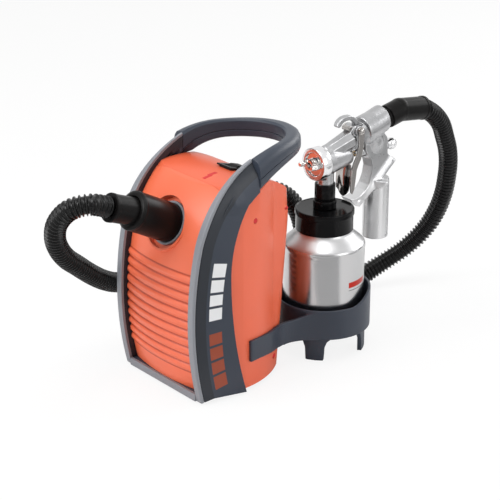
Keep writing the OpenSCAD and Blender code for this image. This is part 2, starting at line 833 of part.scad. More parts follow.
module switch_bezel() {
    color([0.1, 0.1, 0.1]) at_switch() difference() {
        union() {
            translate([-switch_w / 2 - 2, -switch_l / 2 - 2, 0.6])
                cube([switch_w + 4, switch_l + 4, 2]);
            translate([-switch_w / 2 + gap, -switch_l / 2 + gap, -14])
                cube([switch_w - 2 * gap, switch_l - 2 * gap, 15]);
        }
        translate([-switch_w / 2 + 3, -switch_l / 2 + 3, -10])
            cube([switch_w - 6, switch_l - 6, 30]);
        translate([0, 0, rocker_axis_z]) rod_x(-switch_w / 2 + 1, switch_w / 2 - 1, 1.5 + running);
    }
}

module switch_rocker() {
    half_w = switch_w / 2 - 3 - gap;
    color([0.16, 0.16, 0.16]) at_switch() translate([0, 0, rocker_axis_z]) {
        rotate([rocker_swing / 2, 0, 0]) slab(half_w) difference() {
            polygon([[-rocker_half, 3.5], [0, 5.5], [rocker_half, 3.5],
                [rocker_half - 1.5, -1], [0, -6], [1.5 - rocker_half, -1]]);
        }
        rod_x(-half_w - 1.4, half_w + 1.4, 1.5);
    }
}

// ---------- filter and gland ----------

cover_rise = 2;

module filter_cover() {
    pitch = (filter_h - 16) / louvre_count;
    color("coral") at_unit() difference() {
        intersection() {
            translate([0, 0, filter_z]) linear_extrude(height = filter_h) difference() {
                translate([0, rear_y - rear_bow_r]) circle(r = rear_bow_r + cover_rise, $fn = 120);
                translate([0, rear_y - rear_bow_r]) circle(r = rear_bow_r - wall, $fn = 120);
            }
            translate([-filter_w / 2, 0, 0]) cube([filter_w, far, big]);
        }
        for (i = [0:louvre_count - 1])
            translate([-filter_w / 2 + 7, 0, filter_z + 8 + i * pitch + pitch * 0.25])
                cube([filter_w - 14, far, pitch * 0.5]);
    }
}

module filter_foam() {
    color([0.25, 0.25, 0.27]) at_unit() intersection() {
        translate([-filter_w / 2, 0, filter_z]) cube([filter_w, far, filter_h]);
        translate([0, rear_y - rear_bow_r, 0]) cylinder(h = big, r = rear_bow_r - wall - gap, $fn = 120);
        translate([-far, rear_y - duct_depth + 2, 0]) cube([2 * far, far, big]);
    }
}

module cord_gland() {
    color([0.1, 0.1, 0.1]) at_unit() translate([0, 0, gland_z]) difference() {
        union() {
            rod_y(rear_y - 10, rear_y + 3, gland_r - seat);
            rod_y(rear_y + 0.4, rear_y + 4, gland_r + 3);
            rod_y(rear_y - 7, rear_y - wall - 1, gland_r + 3);
        }
        rod_y(rear_y - 12, rear_y + 6, 3.4);
    }
}

// ---------- turbine and motor ----------

can_wall = 2;
fan_gap = 3;
lower_bearing_z = pedestal_z + 10;
upper_bearing_z = can_z - 12;
bearing_h = 7;
stack_z = 84;
stack_h = 38;

module at_motor() {
    at_unit() translate([0, motor_y, 0]) children();
}

module turbine_can() {
    color("silver") difference() {
        at_motor() difference() {
            translate([0, 0, can_z]) cylinder(h = can_h, r = can_r);
            translate([0, 0, can_z + can_wall])
                cylinder(h = can_h - 2 * can_wall, r = can_r - can_wall);
            translate([0, 0, can_z - 1]) cylinder(h = 20, r = 13);
            translate([0, 0, can_z + can_h - 10]) cylinder(h = 20, r = 17);
        }
        at_port() translate([0, 0, -90]) cylinder(h = 80, r = duct_r - 2.5);
    }
}

diffuser_z = can_z + can_h / 2 - 2;

module diffuser() {
    color("lightgray") at_motor() translate([0, 0, diffuser_z]) {
        tube(3, can_r - can_wall - seat, 14);
        for (i = [0:vane_count - 1]) rotate([0, 0, i * 360 / vane_count])
            translate([20, 0, 2.9]) rotate([0, 0, 40]) cube([22, 1.2, 2.5]);
    }
}

module impeller(z) {
    plate = 1.5;
    vane_h = 9;
    color("gainsboro") at_motor() translate([0, 0, z]) difference() {
        union() {
            cylinder(h = plate, r = fan_r);
            cylinder(h = plate + vane_h, r = shaft_r + 4);
            for (i = [0:vane_count - 1]) rotate([0, 0, i * 360 / vane_count])
                translate([shaft_r + 3, 0, plate - 0.1]) intersection() {
                    rotate([0, 0, 24]) cube([fan_r, 1.4, vane_h]);
                    translate([-shaft_r - 3, 0, 0]) cylinder(h = vane_h, r = fan_r - 1);
                }
        }
        translate([0, 0, -1]) cylinder(h = 30, r = shaft_r);
    }
}

module impeller_lower() {
    impeller(can_z + can_wall + fan_gap);
}

module impeller_upper() {
    impeller(diffuser_z + 3 + 2.5 + fan_gap);
}

module motor_frame() {
    color("gray") at_motor() difference() {
        translate([0, 0, lower_bearing_z - 4]) cylinder(h = can_z - lower_bearing_z + 4, r = motor_r);
        translate([0, 0, lower_bearing_z + 9]) cylinder(h = can_z - lower_bearing_z - 25, r = motor_r - 3);
        translate([0, 0, lower_bearing_z]) cylinder(h = 60, r = bearing_r);
        translate([0, 0, can_z - 30]) cylinder(h = 18 + bearing_h, r = bearing_r);
        translate([0, 0, 0]) cylinder(h = big, r = shaft_r + 2);
        for (a = [0:60:300]) rotate([0, 0, a + 30]) translate([motor_r - 8, -7, stack_z - 21])
            cube([20, 14, 12]);
    }
}

module motor_stator() {
    color("darkgray") at_motor() translate([0, 0, stack_z]) {
        tube(stack_h, motor_r - 3 - seat, armature_r + 0.8);
        color("peru") for (z = [-7, stack_h]) translate([0, 0, z]) tube(7, motor_r - 6, armature_r + 3);
    }
}

module armature() {
    color("peru") at_motor() difference() {
        union() {
            translate([0, 0, stack_z]) cylinder(h = stack_h, r = armature_r);
            translate([0, 0, stack_z - 6]) cylinder(h = stack_h + 12, r = armature_r - 4);
            translate([0, 0, stack_z - 19]) cylinder(h = 14, r = 11);
        }
        cylinder(h = big, r = shaft_r);
    }
}

module motor_shaft() {
    color("silver") at_motor() translate([0, 0, lower_bearing_z])
        cylinder(h = can_z + can_h - 6 - lower_bearing_z, r = shaft_r);
}

module motor_bearings() {
    color("silver") at_motor() for (z = [lower_bearing_z, upper_bearing_z])
        translate([0, 0, z]) tube(bearing_h, bearing_r - seat, shaft_r + running);
}

module brush_holders() {
    color("goldenrod") at_motor() both_sides()
        translate([11.3, -4, stack_z - 17]) cube([motor_r - 3 - seat - 12, 8, 9]);
}

module motor_mount() {
    color([0.1, 0.1, 0.1]) at_motor() {
        translate([0, 0, pedestal_z]) tube(lower_bearing_z - 4 - pedestal_z, pedestal_r, 16);
        at_posts() translate([0, 0, can_z + can_h]) cylinder(h = puck_h, r = 6);
    }
}

// ---------- feet and screws ----------

foot_r = 7;
foot_spots = [[58, -46], [-58, -46], [36, 58], [-36, 58]];

module rubber_feet() {
    color([0.1, 0.1, 0.1]) at_unit() for (p = foot_spots)
        translate([p[0], p[1], 0]) cylinder(h = body_z0, r = foot_r);
}

module housing_screws() {
    color("silver") at_unit() both_sides() for (p = side_screws)
        translate([side_x(p[0]) - wall - 9, p[0], p[1]]) {
            rod_x(0, 6, screw_r);
            rod_x(5.9, 8, screw_head_r - 0.2);
        }
}

// ---------- cup holder ----------

// The holder is one moulding, written here as its wall, floor, legs and arm
seat_z = tray_z + 4;
leg_inner_r = 47;
leg_outer_r = 52;
drip_r = 22;
wall_top = tray_z + tray_h;
ramp_y0 = -5;
ramp_y1 = 42;
ramp_steps = 12;

// Height of the rim at a depth measured from the cup's axis
function rim_z(y) = wall_top + tray_rise * ease(min(1, (y - ramp_y0) / (ramp_y1 - ramp_y0)));

module rim_region() {
    polygon(concat([[-far, 0], [-far, wall_top]],
        [for (i = [0:ramp_steps]) let (y = mix(ramp_y0, ramp_y1, i / ramp_steps)) [y, rim_z(y)]],
        [[far, rim_z(far)], [far, 0]]));
}

module holder_wall() {
    color("slategray") at_cup() difference() {
        intersection() {
            translate([0, 0, seat_z]) cylinder(h = big, r = tray_r, $fn = 120);
            slab(far) rim_region();
        }
        translate([0, 0, seat_z - 1]) cylinder(h = big, r = tray_r - tray_wall, $fn = 120);
    }
}

module holder_floor() {
    color("slategray") at_cup() translate([0, 0, tray_z]) difference() {
        cylinder(h = seat_z - tray_z, r = tray_r, $fn = 120);
        translate([0, 0, -1]) cylinder(h = seat_z, r = drip_r);
    }
}

module holder_legs() {
    color("slategray") at_cup() for (a = [-53:90:217]) rotate([0, 0, a]) intersection() {
        tube(tray_z, leg_outer_r, leg_inner_r);
        translate([20, 0, 0]) rotate([90, 0, 90]) linear_extrude(height = 60)
            polygon([[-11, 0], [11, 0], [12, tray_z * 0.55], [15, tray_z * 0.8], [24, tray_z + 1],
                [-24, tray_z + 1], [-15, tray_z * 0.8], [-12, tray_z * 0.55]]);
    }
}

// The arm follows the housing's side, swings out and meets the wall along its side
arm_y0 = 3;
arm_r = body_side_r + gap;
arm_out = arm_r + arm_t;
arm_a0 = asin((arm_y0 - widest_y) / arm_r);
arm_a1 = 30;
arm_pull = 30;
arm_z = 38;
arm_dip = 5;
arm_steps = 8;
swing_steps = 16;
side_at = [side_cx, widest_y];
tray_meet_a = -40;
tray_at = [cup_x - unit_x, cup_y - unit_y];
function spoke(a) = [cos(a), sin(a)];
function left_of(d) = [-d[1], d[0]];
arm_knee = side_at + arm_out * spoke(arm_a1);
arm_meet = tray_at + tray_r * spoke(tray_meet_a);
swing = [arm_knee, arm_knee + arm_pull * left_of(spoke(arm_a1)),
    arm_meet - arm_pull * left_of(spoke(tray_meet_a)), arm_meet];
function swing_at(t) = pow(1 - t, 3) * swing[0] + 3 * t * pow(1 - t, 2) * swing[1]
    + 3 * t * t * (1 - t) * swing[2] + t * t * t * swing[3];
function swing_dir(t) = unit(pow(1 - t, 2) * (swing[1] - swing[0])
    + 2 * t * (1 - t) * (swing[2] - swing[1]) + t * t * (swing[3] - swing[2]));
arm_outer = concat(
    [for (i = [0:arm_steps]) side_at + arm_out * spoke(mix(arm_a0, arm_a1, i / arm_steps))],
    [for (i = [1:swing_steps]) swing_at(i / swing_steps)]);
arm_inner = concat(
    [for (i = [swing_steps:-1:1]) swing_at(i / swing_steps) + arm_t * left_of(swing_dir(i / swing_steps))],
    [for (i = [arm_steps:-1:0]) side_at + arm_r * spoke(mix(arm_a0, arm_a1, i / arm_steps))]);

// Heights of the arm's lower and upper edges at a depth of the unit
arm_start_y = arm_outer[0][1];
arm_mid_y = swing_at(0.45)[1];
function fore(y) = ease(min(1, (y - arm_start_y) / (arm_mid_y - arm_start_y)));
function aft(y) = max(0, (y - arm_mid_y) / (arm_meet[1] - arm_mid_y));
function arm_low(y) = y < arm_mid_y ? mix(arm_z, tray_z + 0.8, fore(y))
    : mix(tray_z + 0.8, tray_z, min(1, aft(y)));
function arm_high(y) = y < arm_mid_y ? arm_z + arm_h - arm_dip * fore(y)
    : mix(arm_z + arm_h - arm_dip, wall_top, (ease(min(1, aft(y))) + min(1, pow(aft(y), 2))) / 2);

module arm_side() {
    n = 22;
    ys = [for (i = [0:n]) mix(arm_start_y - 2, arm_meet[1] + 2, i / n)];
    polygon(concat([for (y = ys) [y, arm_low(y)]], [for (i = [n:-1:0]) [ys[i], arm_high(ys[i])]]));
}

module holder_arm() {
    color("slategray") difference() {
        at_unit() intersection() {
            linear_extrude(height = far) polygon(concat(arm_outer, arm_inner));
            slab(far) arm_side();
        }
        at_cup() translate([0, 0, 1]) cylinder(h = far, r = tray_r + seat, $fn = 120);
        holder_holes();
    }
}

module at_holder_screws() {
    at_unit() for (a = [12, 24]) let (y = widest_y + arm_r * sin(a))
        translate([side_cx, widest_y, (arm_low(y) + arm_high(y)) / 2]) rotate([0, 0, a]) children();
}

module holder_screws() {
    color("silver") at_holder_screws() {
        rod_x(body_side_r - wall - 3.2, body_side_r - wall - 0.15, 4);
        rod_x(body_side_r - wall - 1, body_side_r + arm_t * 0.6, screw_r);
    }
}

// Holes for the screws that hold the cup holder's arm
module holder_holes() {
    at_holder_screws() rod_x(body_side_r - wall - 4, body_side_r + arm_t * 0.6 + 0.1, screw_r + seat);
}

// ---------- cup and lid ----------

cup_z = seat_z + gap;
shoulder_z = cup_z + cup_h;
mouth_z = shoulder_z + 21;
lid_z = shoulder_z + 16;
lid_r = neck_r + gap + lid_wall;
lid_top = lid_z + lid_h;
gasket_z = mouth_z + gap;

module cup() {
    color("silver") at_cup() rotate_extrude($fn = 120) difference() {
        union() {
            translate([0, cup_z]) square([cup_r - 4, 8]);
            translate([0, cup_z + 4]) square([cup_r, cup_h - 4]);
            intersection() {
                translate([cup_r - 4, cup_z + 4]) circle(r = 4, $fn = edge_fn);
                translate([0, cup_z]) square([cup_r, 20]);
            }
            polygon([[0, shoulder_z - 0.01], [cup_r, shoulder_z - 0.01], [cup_r - 1.5, shoulder_z + 4],
                [cup_r - 7, shoulder_z + 9], [neck_r + 1.5, shoulder_z + 13.5],
                [neck_r, shoulder_z + 15.5], [neck_r, mouth_z], [0, mouth_z]]);
        }
        translate([0, cup_z + 2]) square([cup_r - 4 - cup_wall, 20]);
        translate([0, cup_z + 6]) square([cup_r - cup_wall, cup_h - 6]);
        polygon([[0, shoulder_z - 0.02], [cup_r - cup_wall, shoulder_z - 0.02],
            [cup_r - 1.5 - cup_wall, shoulder_z + 3.4], [cup_r - 7.5 - cup_wall, shoulder_z + 7.8],
            [neck_r + 0.5 - cup_wall, shoulder_z + 12.5], [neck_r - cup_wall, shoulder_z + 15.5],
            [neck_r - cup_wall, mouth_z + 1], [0, mouth_z + 1]]);
    }
}

module lid_gasket() {
    color("white") at_cup() translate([0, 0, gasket_z]) tube(1.5, neck_r, neck_r - 7);
}

module cup_lid() {
    color([0.08, 0.08, 0.08]) at_cup() difference() {
        union() {
            translate([0, 0, lid_z]) cylinder(h = lid_h - 1.5, r = lid_r, $fn = 120);
            translate([0, 0, lid_top - 1.5]) cylinder(h = 1.5, r1 = lid_r, r2 = lid_r - 1.5, $fn = 120);
        }
        translate([0, 0, lid_z - 1]) cylinder(h = gasket_z + 1.5 - lid_z + 1, r = neck_r + gap, $fn = 120);
        translate([0, 0, lid_z]) cylinder(h = lid_h - 4, r = neck_r - 6);
        translate([0, 0, lid_z]) cylinder(h = far, r = siphon_r + 2);
        translate([0, 0, lid_top - 3]) cylinder(h = 10, r = stem_r - 3);
    }
}

siphon_r = 4;
collar_h = 10;
stem_top = gun_z - 27;

module neck_collar() {
    color([0.08, 0.08, 0.08]) at_cup() translate([0, 0, lid_top]) tube(collar_h, stem_r + 1.6, stem_r - 3);
}

module neck_stem() {
    color([0.08, 0.08, 0.08]) at_cup() difference() {
        union() {
            translate([0, 0, lid_top + collar_h]) cylinder(h = stem_top - lid_top - collar_h, r = stem_r);
            translate([0, 0, lid_top - 3]) cylinder(h = collar_h + 4, r = stem_r - 3 - seat);
            translate([0, 0, lid_top - 3 - 2]) cylinder(h = 5, r = siphon_r + 2 - seat);
        }
        translate([0, 0, lid_top - 10]) cylinder(h = far, r = siphon_r + seat);
        translate([0, 0, stem_top - 6]) cylinder(h = 10, r = spigot_r + seat);
    }
}

module siphon_tube() {
    color("silver") at_cup() translate([0, 0, cup_z + 6])
        tube(stem_top - 6 - cup_z - 6, siphon_r, siphon_r - 1);
}

// ---------- gun ----------

spigot_r = 10.5;
head_y0 = -6;
head_y1 = 36;
ring_y0 = -20;
grip_y = 85;
pivot_y = 45;
pivot_z = gun_z + 31;
spray_bore = needle_r + 1;
knob_y = 98.5;
knob_bore = 5.2;
disc_y = 76;
needle_draw = 5.4;

module at_spray() {
    at_cup() translate([0, 0, gun_z]) children();
}

module at_inlet() {
    at_cup() translate([0, inlet_y, inlet_z]) rotate([inlet_tilt - 90, 0, 0]) children();
}

// The side view of the casting behind the trigger, in (y, z) from the spray axis
module casting_side() {
    polygon([
        [56, 30], [57, 4], [61, -3], [67, -10], [70, -20], [68, -31], [64, -41], [58, -48],
        [50, -53], [41, -55], [34, -54], [38.5, -60], [44, -65], [50, -67], [58, -60], [78, -42],
        [106, -22], [110, -18], [106, -14], [98, -8], [97, 14], [94, 24], [80, 34], [62, 38]
    ]);
}

// The narrow web that carries the trigger's pin between the two arms
module web_side() {
    polygon([[26, -6], [26, 24], [36, 33], [40, 37], [54, 37], [58, 34], [58, 7], [36, 7], [36, -6]]);
}

module gun_body() {
    half = gun_t / 2;
    color("lightgray") difference() {
        union() {
            at_spray() {
                // nose, barrel and the air way above it
                rod_y(head_y0, 4, ring_r - 3.4, fn = 72);
                translate([0, 4, 0]) rotate([-90, 0, 0]) cylinder(h = head_y1 - 4, r1 = ring_r - 3.4, r2 = 11);
                translate([0, -2, 10]) rotate([12 - 90, 0, 0]) cylinder(h = 46, r = 9.2);
                slab(half) casting_side();
                slab(half - 3) web_side();
                translate([0, pivot_y, pivot_z - gun_z]) rod_x(gap - trigger_in, trigger_in - gap, 6);
            }
            at_cup() translate([0, 0, stem_top - 5.5]) {
                cylinder(h = gun_z - ring_r - 0.5 - stem_top + 5.5, r = spigot_r);
                intersection() {
                    cylinder(h = 24, r = spigot_r);
                    translate([-20, head_y0 + 0.5, 0]) cube(40);
                }
            }
            at_cup() translate([0, grip_y, handle_z0]) cylinder(h = gun_z - 38 - handle_z0, r = handle_r);
            at_inlet() cylinder(h = inlet_l, r = inlet_r);
        }
        at_spray() {
            rod_y(head_y0 - 1, 12, 7);
            rod_y(head_y0, 130, spray_bore, fn = 32);
            rod_y(head_y1 - 8, head_y1 + 20, 4.2, fn = 32);
            rod_y(disc_y - 3, 130, knob_bore, fn = 32);
            translate([0, pivot_y, pivot_z - gun_z]) rod_x(-20, 20, pin_r + seat);
        }
        at_inlet() translate([0, 0, 14]) cylinder(h = 60, r = hose_bore_r + 2.5);
        at_cup() translate([0, 0, stem_top - 8]) cylinder(h = 26, r = 3);
    }
}

hook_r = 18;
hook_t = 6;
hook_y = 33;
hook_z = 31.5;
web_top = 37;

module hanging_hook() {
    foot = web_top - hook_z + seat;
    color("lightgray") at_spray() translate([0, hook_y, hook_z]) slab(4) difference() {
        circle(r = hook_r, $fn = 90);
        circle(r = hook_r - hook_t, $fn = 60);
        polygon([[-60, -60], [-60, 8], [0, 8], [0, foot], [60, foot], [60, -60]]);
    }
}

module air_cap_ring() {
    color("silver") at_spray() difference() {
        rod_y(ring_y0, ring_y0 + ring_l, ring_r, fn = 96);
        rod_y(ring_y0 - 1, ring_y0 + 3, ring_r - 3.5, fn = 72);
        rod_y(ring_y0 + 2, ring_y0 + ring_l + 1, ring_r - 3.4 + running + gap, fn = 72);
        rod_y(ring_y0 - 1, ring_y0 + 20, ring_r - 6, fn = 72);
    }
}

cap_r = ring_r - 3.5;
horn_x = 10.2;
horn_r = 3;
horn_l = 12;

module air_cap() {
    color("silver") at_spray() difference() {
        union() {
            rod_y(ring_y0 + 3 + gap, head_y0 - gap, cap_r - gap, fn = 72);
            rod_y(ring_y0 - 2, ring_y0 + 6, ring_r - 6 - gap, fn = 72);
            for (s = [-1, 1]) translate([s * horn_x, 0, 0])
                rod_y(ring_y0 - horn_l, ring_y0, horn_r, fn = 32);
            rod_y(ring_y0 - 6, ring_y0, 7, fn = 48);
        }
        rod_y(ring_y0 - 8, ring_y0 + 30, 3.6, fn = 32);
        rod_y(ring_y0 + 4, head_y0 + 1, 9.4, fn = 48);
        for (s = [-1, 1]) translate([s * horn_x, ring_y0 - horn_l + 3, 0]) rod_x(-5, 5, 0.9, fn = 24);
    }
}

module fluid_nozzle() {
    color("gold") at_spray() difference() {
        union() {
            rod_y(head_y0 - 9, 12, 7 - seat);
            rod_y(head_y0 - 9.7, head_y0 - 8, 5);
            translate([0, ring_y0 - 8, 0]) rotate([-90, 0, 0]) cylinder(h = 13, r1 = 1.9, r2 = 3.2);
        }
        rod_y(ring_y0 - 10, 20, needle_r + running + 0.02, fn = 32);
    }
}

module packing_nut() {
    color("goldenrod") at_spray() difference() {
        union() {
            rod_y(head_y1 + 0.1, head_y1 + 6, 5.4, fn = 6);
            rod_y(head_y1 - 7.5, head_y1 + 0.2, 4.2 - seat, fn = 32);
        }
        rod_y(head_y1 - 10, head_y1 + 10, needle_r + running, fn = 32);
    }
}

module needle() {
    color("silver") at_spray() {
        rod_y(ring_y0 - 6, disc_y + 2, needle_r, fn = 32);
        rod_y(46, 50, 4, fn = 32);
        rod_y(disc_y, disc_y + 2, knob_bore - 1, fn = 32);
    }
}

module needle_spring() {
    start = disc_y + 2 + needle_draw + gap;
    color("silver") at_spray() translate([0, start, 0]) rotate([-90, 0, 0])
        tube(knob_y - 6 - start, knob_bore - 1, knob_bore - 2.4);
}

module fluid_knob() {
    color("silver") at_spray() difference() {
        union() {
            rod_y(knob_y + gap + 0.2, knob_y + 5, 6);
            rod_y(knob_y - 6, knob_y + 1, knob_bore - running);
            translate([0, knob_y + 9, 0]) intersection() {
                sphere(r = 7.5);
                rod_y(-5, 8, 7.5);
            }
            rod_y(knob_y + 4, knob_y + 6, 4);
        }
        rod_y(knob_y - 7, knob_y - 2, 1.8);
    }
}

trigger_in = gun_t / 2 + 2.4;

module trigger_side() {
    polygon([[41, 35], [49, 35], [50, 28], [48, 4], [44, -8], [38, -14], [37, -44], [33, -50],
        [28, -46], [27, -30], [29, -12], [38, 2], [41, 28]]);
}

module trigger_face_side() {
    polygon([[29, -12.8], [36, -12.8], [37, -16], [36, -42], [33, -50], [28, -46], [27, -30]]);
}

module trigger() {
    inner = trigger_in;
    color("gray") at_spray() difference() {
        union() {
            both_sides() translate([inner + trigger_t / 2, 0, 0]) slab(trigger_t / 2) trigger_side();
            slab(inner + 0.1) trigger_face_side();
        }
        translate([0, pivot_y, pivot_z - gun_z]) rod_x(-20, 20, pin_r + running);
    }
}

module trigger_pin() {
    reach = trigger_in + trigger_t + gap;
    color("silver") at_spray() translate([0, pivot_y, pivot_z - gun_z]) {
        rod_x(-reach, reach, pin_r);
        both_sides() rod_x(reach - 0.1, reach + 2, pin_r + 2);
    }
}

// The elbow between the gun's inlet and the hose
module gun_cuff() {
    tail = norm(hose_end - elbow_at);
    color([0.12, 0.12, 0.12]) difference() {
        union() {
            at_inlet() translate([0, 0, inlet_l + 0.1]) cylinder(h = elbow_out - inlet_l, r = cuff_r);
            at_inlet() translate([0, 0, 16]) cylinder(h = elbow_out - 16, r = hose_bore_r + 2.4);
            translate(elbow_at) sphere(r = cuff_r + 0.3, $fn = 48);
            aim(elbow_at, hose_end) cylinder(h = tail, r = cuff_r);
        }
        at_inlet() translate([0, 0, 10]) cylinder(h = elbow_out - 10, r = hose_bore_r);
        translate(elbow_at) sphere(r = hose_bore_r + 0.2, $fn = 48);
        aim(elbow_at, hose_end) cylinder(h = tail + 1, r = hose_bore_r);
    }
}

rear_housing();
front_panel();
base_plate();
band_left();
band_right();
handle_upper();
handle_lower();
trim_left();
trim_right();
cross_bar();
trim_bottom();
outlet_collar();
outlet_seal();
outlet_duct();
hose_sleeve();
hose_cuff();
air_hose();
switch_bezel();
switch_rocker();
filter_cover();
filter_foam();
cord_gland();
turbine_can();
diffuser();
impeller_lower();
impeller_upper();
motor_frame();
motor_stator();
armature();
motor_shaft();
motor_bearings();
brush_holders();
motor_mount();
rubber_feet();
housing_screws();
holder_wall();
holder_floor();
holder_legs();
holder_arm();
holder_screws();
gun_body();
hanging_hook();
air_cap_ring();
air_cap();
fluid_nozzle();
packing_nut();
needle();
needle_spring();
trigger();
trigger_pin();
fluid_knob();
gun_cuff();
neck_stem();
neck_collar();
cup_lid();
lid_gasket();
siphon_tube();
cup();
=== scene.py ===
# %% [markdown]
# # A turbine paint sprayer
# A floor unit with a loop handle blows air through a ribbed hose into a cast gun.
# The gun stands on its paint cup, and the cup stands in a holder behind the unit.
# The solids come from the CAD frame; this lesson dresses them and makes the pieces
# that need more than a plain solid. Blender works in metres; lists of points and
# profiles are in millimetres and are turned into metres by MM.

# %% Load the frame
import bpy, json, math
from mathutils import Matrix, Vector


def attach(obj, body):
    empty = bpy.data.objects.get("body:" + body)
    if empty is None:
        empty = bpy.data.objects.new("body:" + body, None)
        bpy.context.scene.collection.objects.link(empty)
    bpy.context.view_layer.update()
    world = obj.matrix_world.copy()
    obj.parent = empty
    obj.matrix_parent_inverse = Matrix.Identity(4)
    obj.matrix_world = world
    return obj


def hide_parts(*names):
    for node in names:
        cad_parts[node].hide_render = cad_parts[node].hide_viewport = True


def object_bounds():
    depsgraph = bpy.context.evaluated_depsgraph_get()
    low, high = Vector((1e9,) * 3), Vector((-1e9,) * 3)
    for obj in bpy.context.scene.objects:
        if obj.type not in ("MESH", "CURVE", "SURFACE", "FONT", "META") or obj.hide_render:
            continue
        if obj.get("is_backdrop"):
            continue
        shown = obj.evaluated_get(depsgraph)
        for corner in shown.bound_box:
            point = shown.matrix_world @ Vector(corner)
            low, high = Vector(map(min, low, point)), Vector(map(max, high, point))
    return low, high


MM = 0.001
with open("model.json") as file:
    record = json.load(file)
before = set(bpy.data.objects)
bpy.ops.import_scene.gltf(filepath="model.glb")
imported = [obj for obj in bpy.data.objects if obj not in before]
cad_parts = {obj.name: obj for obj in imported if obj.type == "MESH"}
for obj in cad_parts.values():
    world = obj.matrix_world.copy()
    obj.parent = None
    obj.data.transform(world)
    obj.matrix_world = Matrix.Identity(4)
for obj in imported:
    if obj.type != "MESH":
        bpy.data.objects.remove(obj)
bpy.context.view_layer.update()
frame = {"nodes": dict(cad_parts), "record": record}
bpy.ops.object.select_all(action="DESELECT")

# %% [markdown]
# ## Camera
# The set is seen from the unit's front right, a little from above, with a long lens
# from about two metres, so the upright lines lean very little.

# %% Camera
picture_width, focal_length = 500, 1631.208  # both in pixels
camera = bpy.data.objects.new("camera", bpy.data.cameras.new("camera"))
bpy.context.scene.collection.objects.link(camera)
bpy.context.scene.camera = camera
azimuth, elevation = math.radians(50.479), math.radians(21.888)
back = Vector((math.sin(azimuth) * math.cos(elevation),
               -math.cos(azimuth) * math.cos(elevation), math.sin(elevation)))
camera.location = (1.3896, -1.1796, 0.8631)
camera.rotation_euler = (-back).to_track_quat("-Z", "Y").to_euler()
camera.data.sensor_width = 36.0
camera.data.lens = camera.data.sensor_width * focal_length / picture_width
camera.data.clip_end = 20
print("lens", round(camera.data.lens, 2))

# %% [markdown]
# ## Finishes
# Every finish is a set of nodes on Object coordinates, so a pattern keeps its real
# size. `Signal` lets shader maths be written as plain expressions: each operator
# adds one Math node.

# %% Shader maths
class Signal:
    """One value in a material, with the operators that add Math nodes."""

    def __init__(self, finish, socket):
        self.finish, self.socket = finish, socket

    def math(self, operation, *others):
        return self.finish.node("ShaderNodeMath", {"operation": operation},
                                dict(enumerate((self,) + others)))

    def __add__(self, other):
        return self.math("ADD", other)

    def __mul__(self, other):
        return self.math("MULTIPLY", other)

    def __sub__(self, other):
        return self.math("SUBTRACT", other)

    def __rsub__(self, other):
        return self.finish.node("ShaderNodeMath", {"operation": "SUBTRACT"}, {0: other, 1: self})

    def power(self, other):
        return self.math("POWER", other)

    def above(self, edge, soft):
        """0 below an edge and 1 above it, over a soft step."""
        return self.finish.node("ShaderNodeMapRange", {"clamp": True},
                                {0: self, 1: edge - soft, 2: edge + soft, 3: 0.0, 4: 1.0})

    def within(self, low, high, soft):
        return self.above(low, soft) * (1.0 - self.above(high, soft))


print("shader maths ready")

# %% [markdown]
# `Finish` is one material. It adds nodes by calls, and it has the four patterns that
# all finishes use: noise, the three coordinates, a mix of two tints, and a bump.

# %% Materials by calls
class Finish:
    """A material with one main shader, filled by calls."""

    def __init__(self, name, color, rough, metal=0.0, **fixed):
        self.material = bpy.data.materials.new(name)
        self.material.use_nodes = True
        self.tree = self.material.node_tree
        self.main = self.tree.nodes["Principled BSDF"]
        self.main.inputs["Base Color"].default_value = (*color, 1)
        self.main.inputs["Roughness"].default_value = rough
        self.main.inputs["Metallic"].default_value = metal
        for key, value in fixed.items():
            self.main.inputs[key.replace("_", " ")].default_value = value

    def node(self, kind, settings=None, inputs=None, output=0):
        made = self.tree.nodes.new(kind)
        for key, value in (settings or {}).items():
            setattr(made, key, value)
        for key, value in (inputs or {}).items():
            self.plug(value, made.inputs[key])
        return Signal(self, made.outputs[output])

    def plug(self, value, socket):
        if isinstance(value, Signal):
            self.tree.links.new(value.socket, socket)
        else:
            socket.default_value = value

    def set(self, name, value):
        self.plug(value, self.main.inputs[name])

    def place(self, stretch=(1, 1, 1)):
        coords = self.node("ShaderNodeTexCoord", output="Object")
        return self.node("ShaderNodeMapping", None, {"Vector": coords, "Scale": stretch})

    def axes(self):
        """The three Object coordinates, in metres."""
        coords = self.node("ShaderNodeTexCoord", output="Object")
        apart = self.node("ShaderNodeSeparateXYZ", None, {0: coords}).socket.node
        return [Signal(self, socket) for socket in apart.outputs]

    def noise(self, size, stretch=(1, 1, 1), detail=3.0):
        """Soft noise whose grains are about size metres."""
        return self.node("ShaderNodeTexNoise", None,
                         {"Vector": self.place(stretch), "Scale": 1 / size, "Detail": detail})

    def tint(self, factor, low, high):
        """A mix of two tints, each a colour or a signal."""
        low, high = (c if isinstance(c, Signal) else (*c, 1) for c in (low, high))
        return self.node("ShaderNodeMix", {"data_type": "RGBA"}, {0: factor, 6: low, 7: high},
                         output=2)

    def bump(self, height, depth, strength):
        self.set("Normal", self.node("ShaderNodeBump", None,
                                     {"Height": height, "Distance": depth, "Strength": strength}))


def shade(color, factor):
    return tuple(min(1.0, c * factor) for c in color)


print("materials by calls ready")

# %% [markdown]
# Moulded plastic has a fine spark-eroded grain, slight sink marks that change its
# gloss, and dust in its corners. The grain is half a millimetre across and a few
# hundredths deep, and the gloss wanders slowly over some centimetres. Dark plastics
# get a low specular level, because a white studio would otherwise veil them.

# %% Plastics and rubber
slow_size, grain_size, grain_depth = 0.03, 0.0005, 0.00004


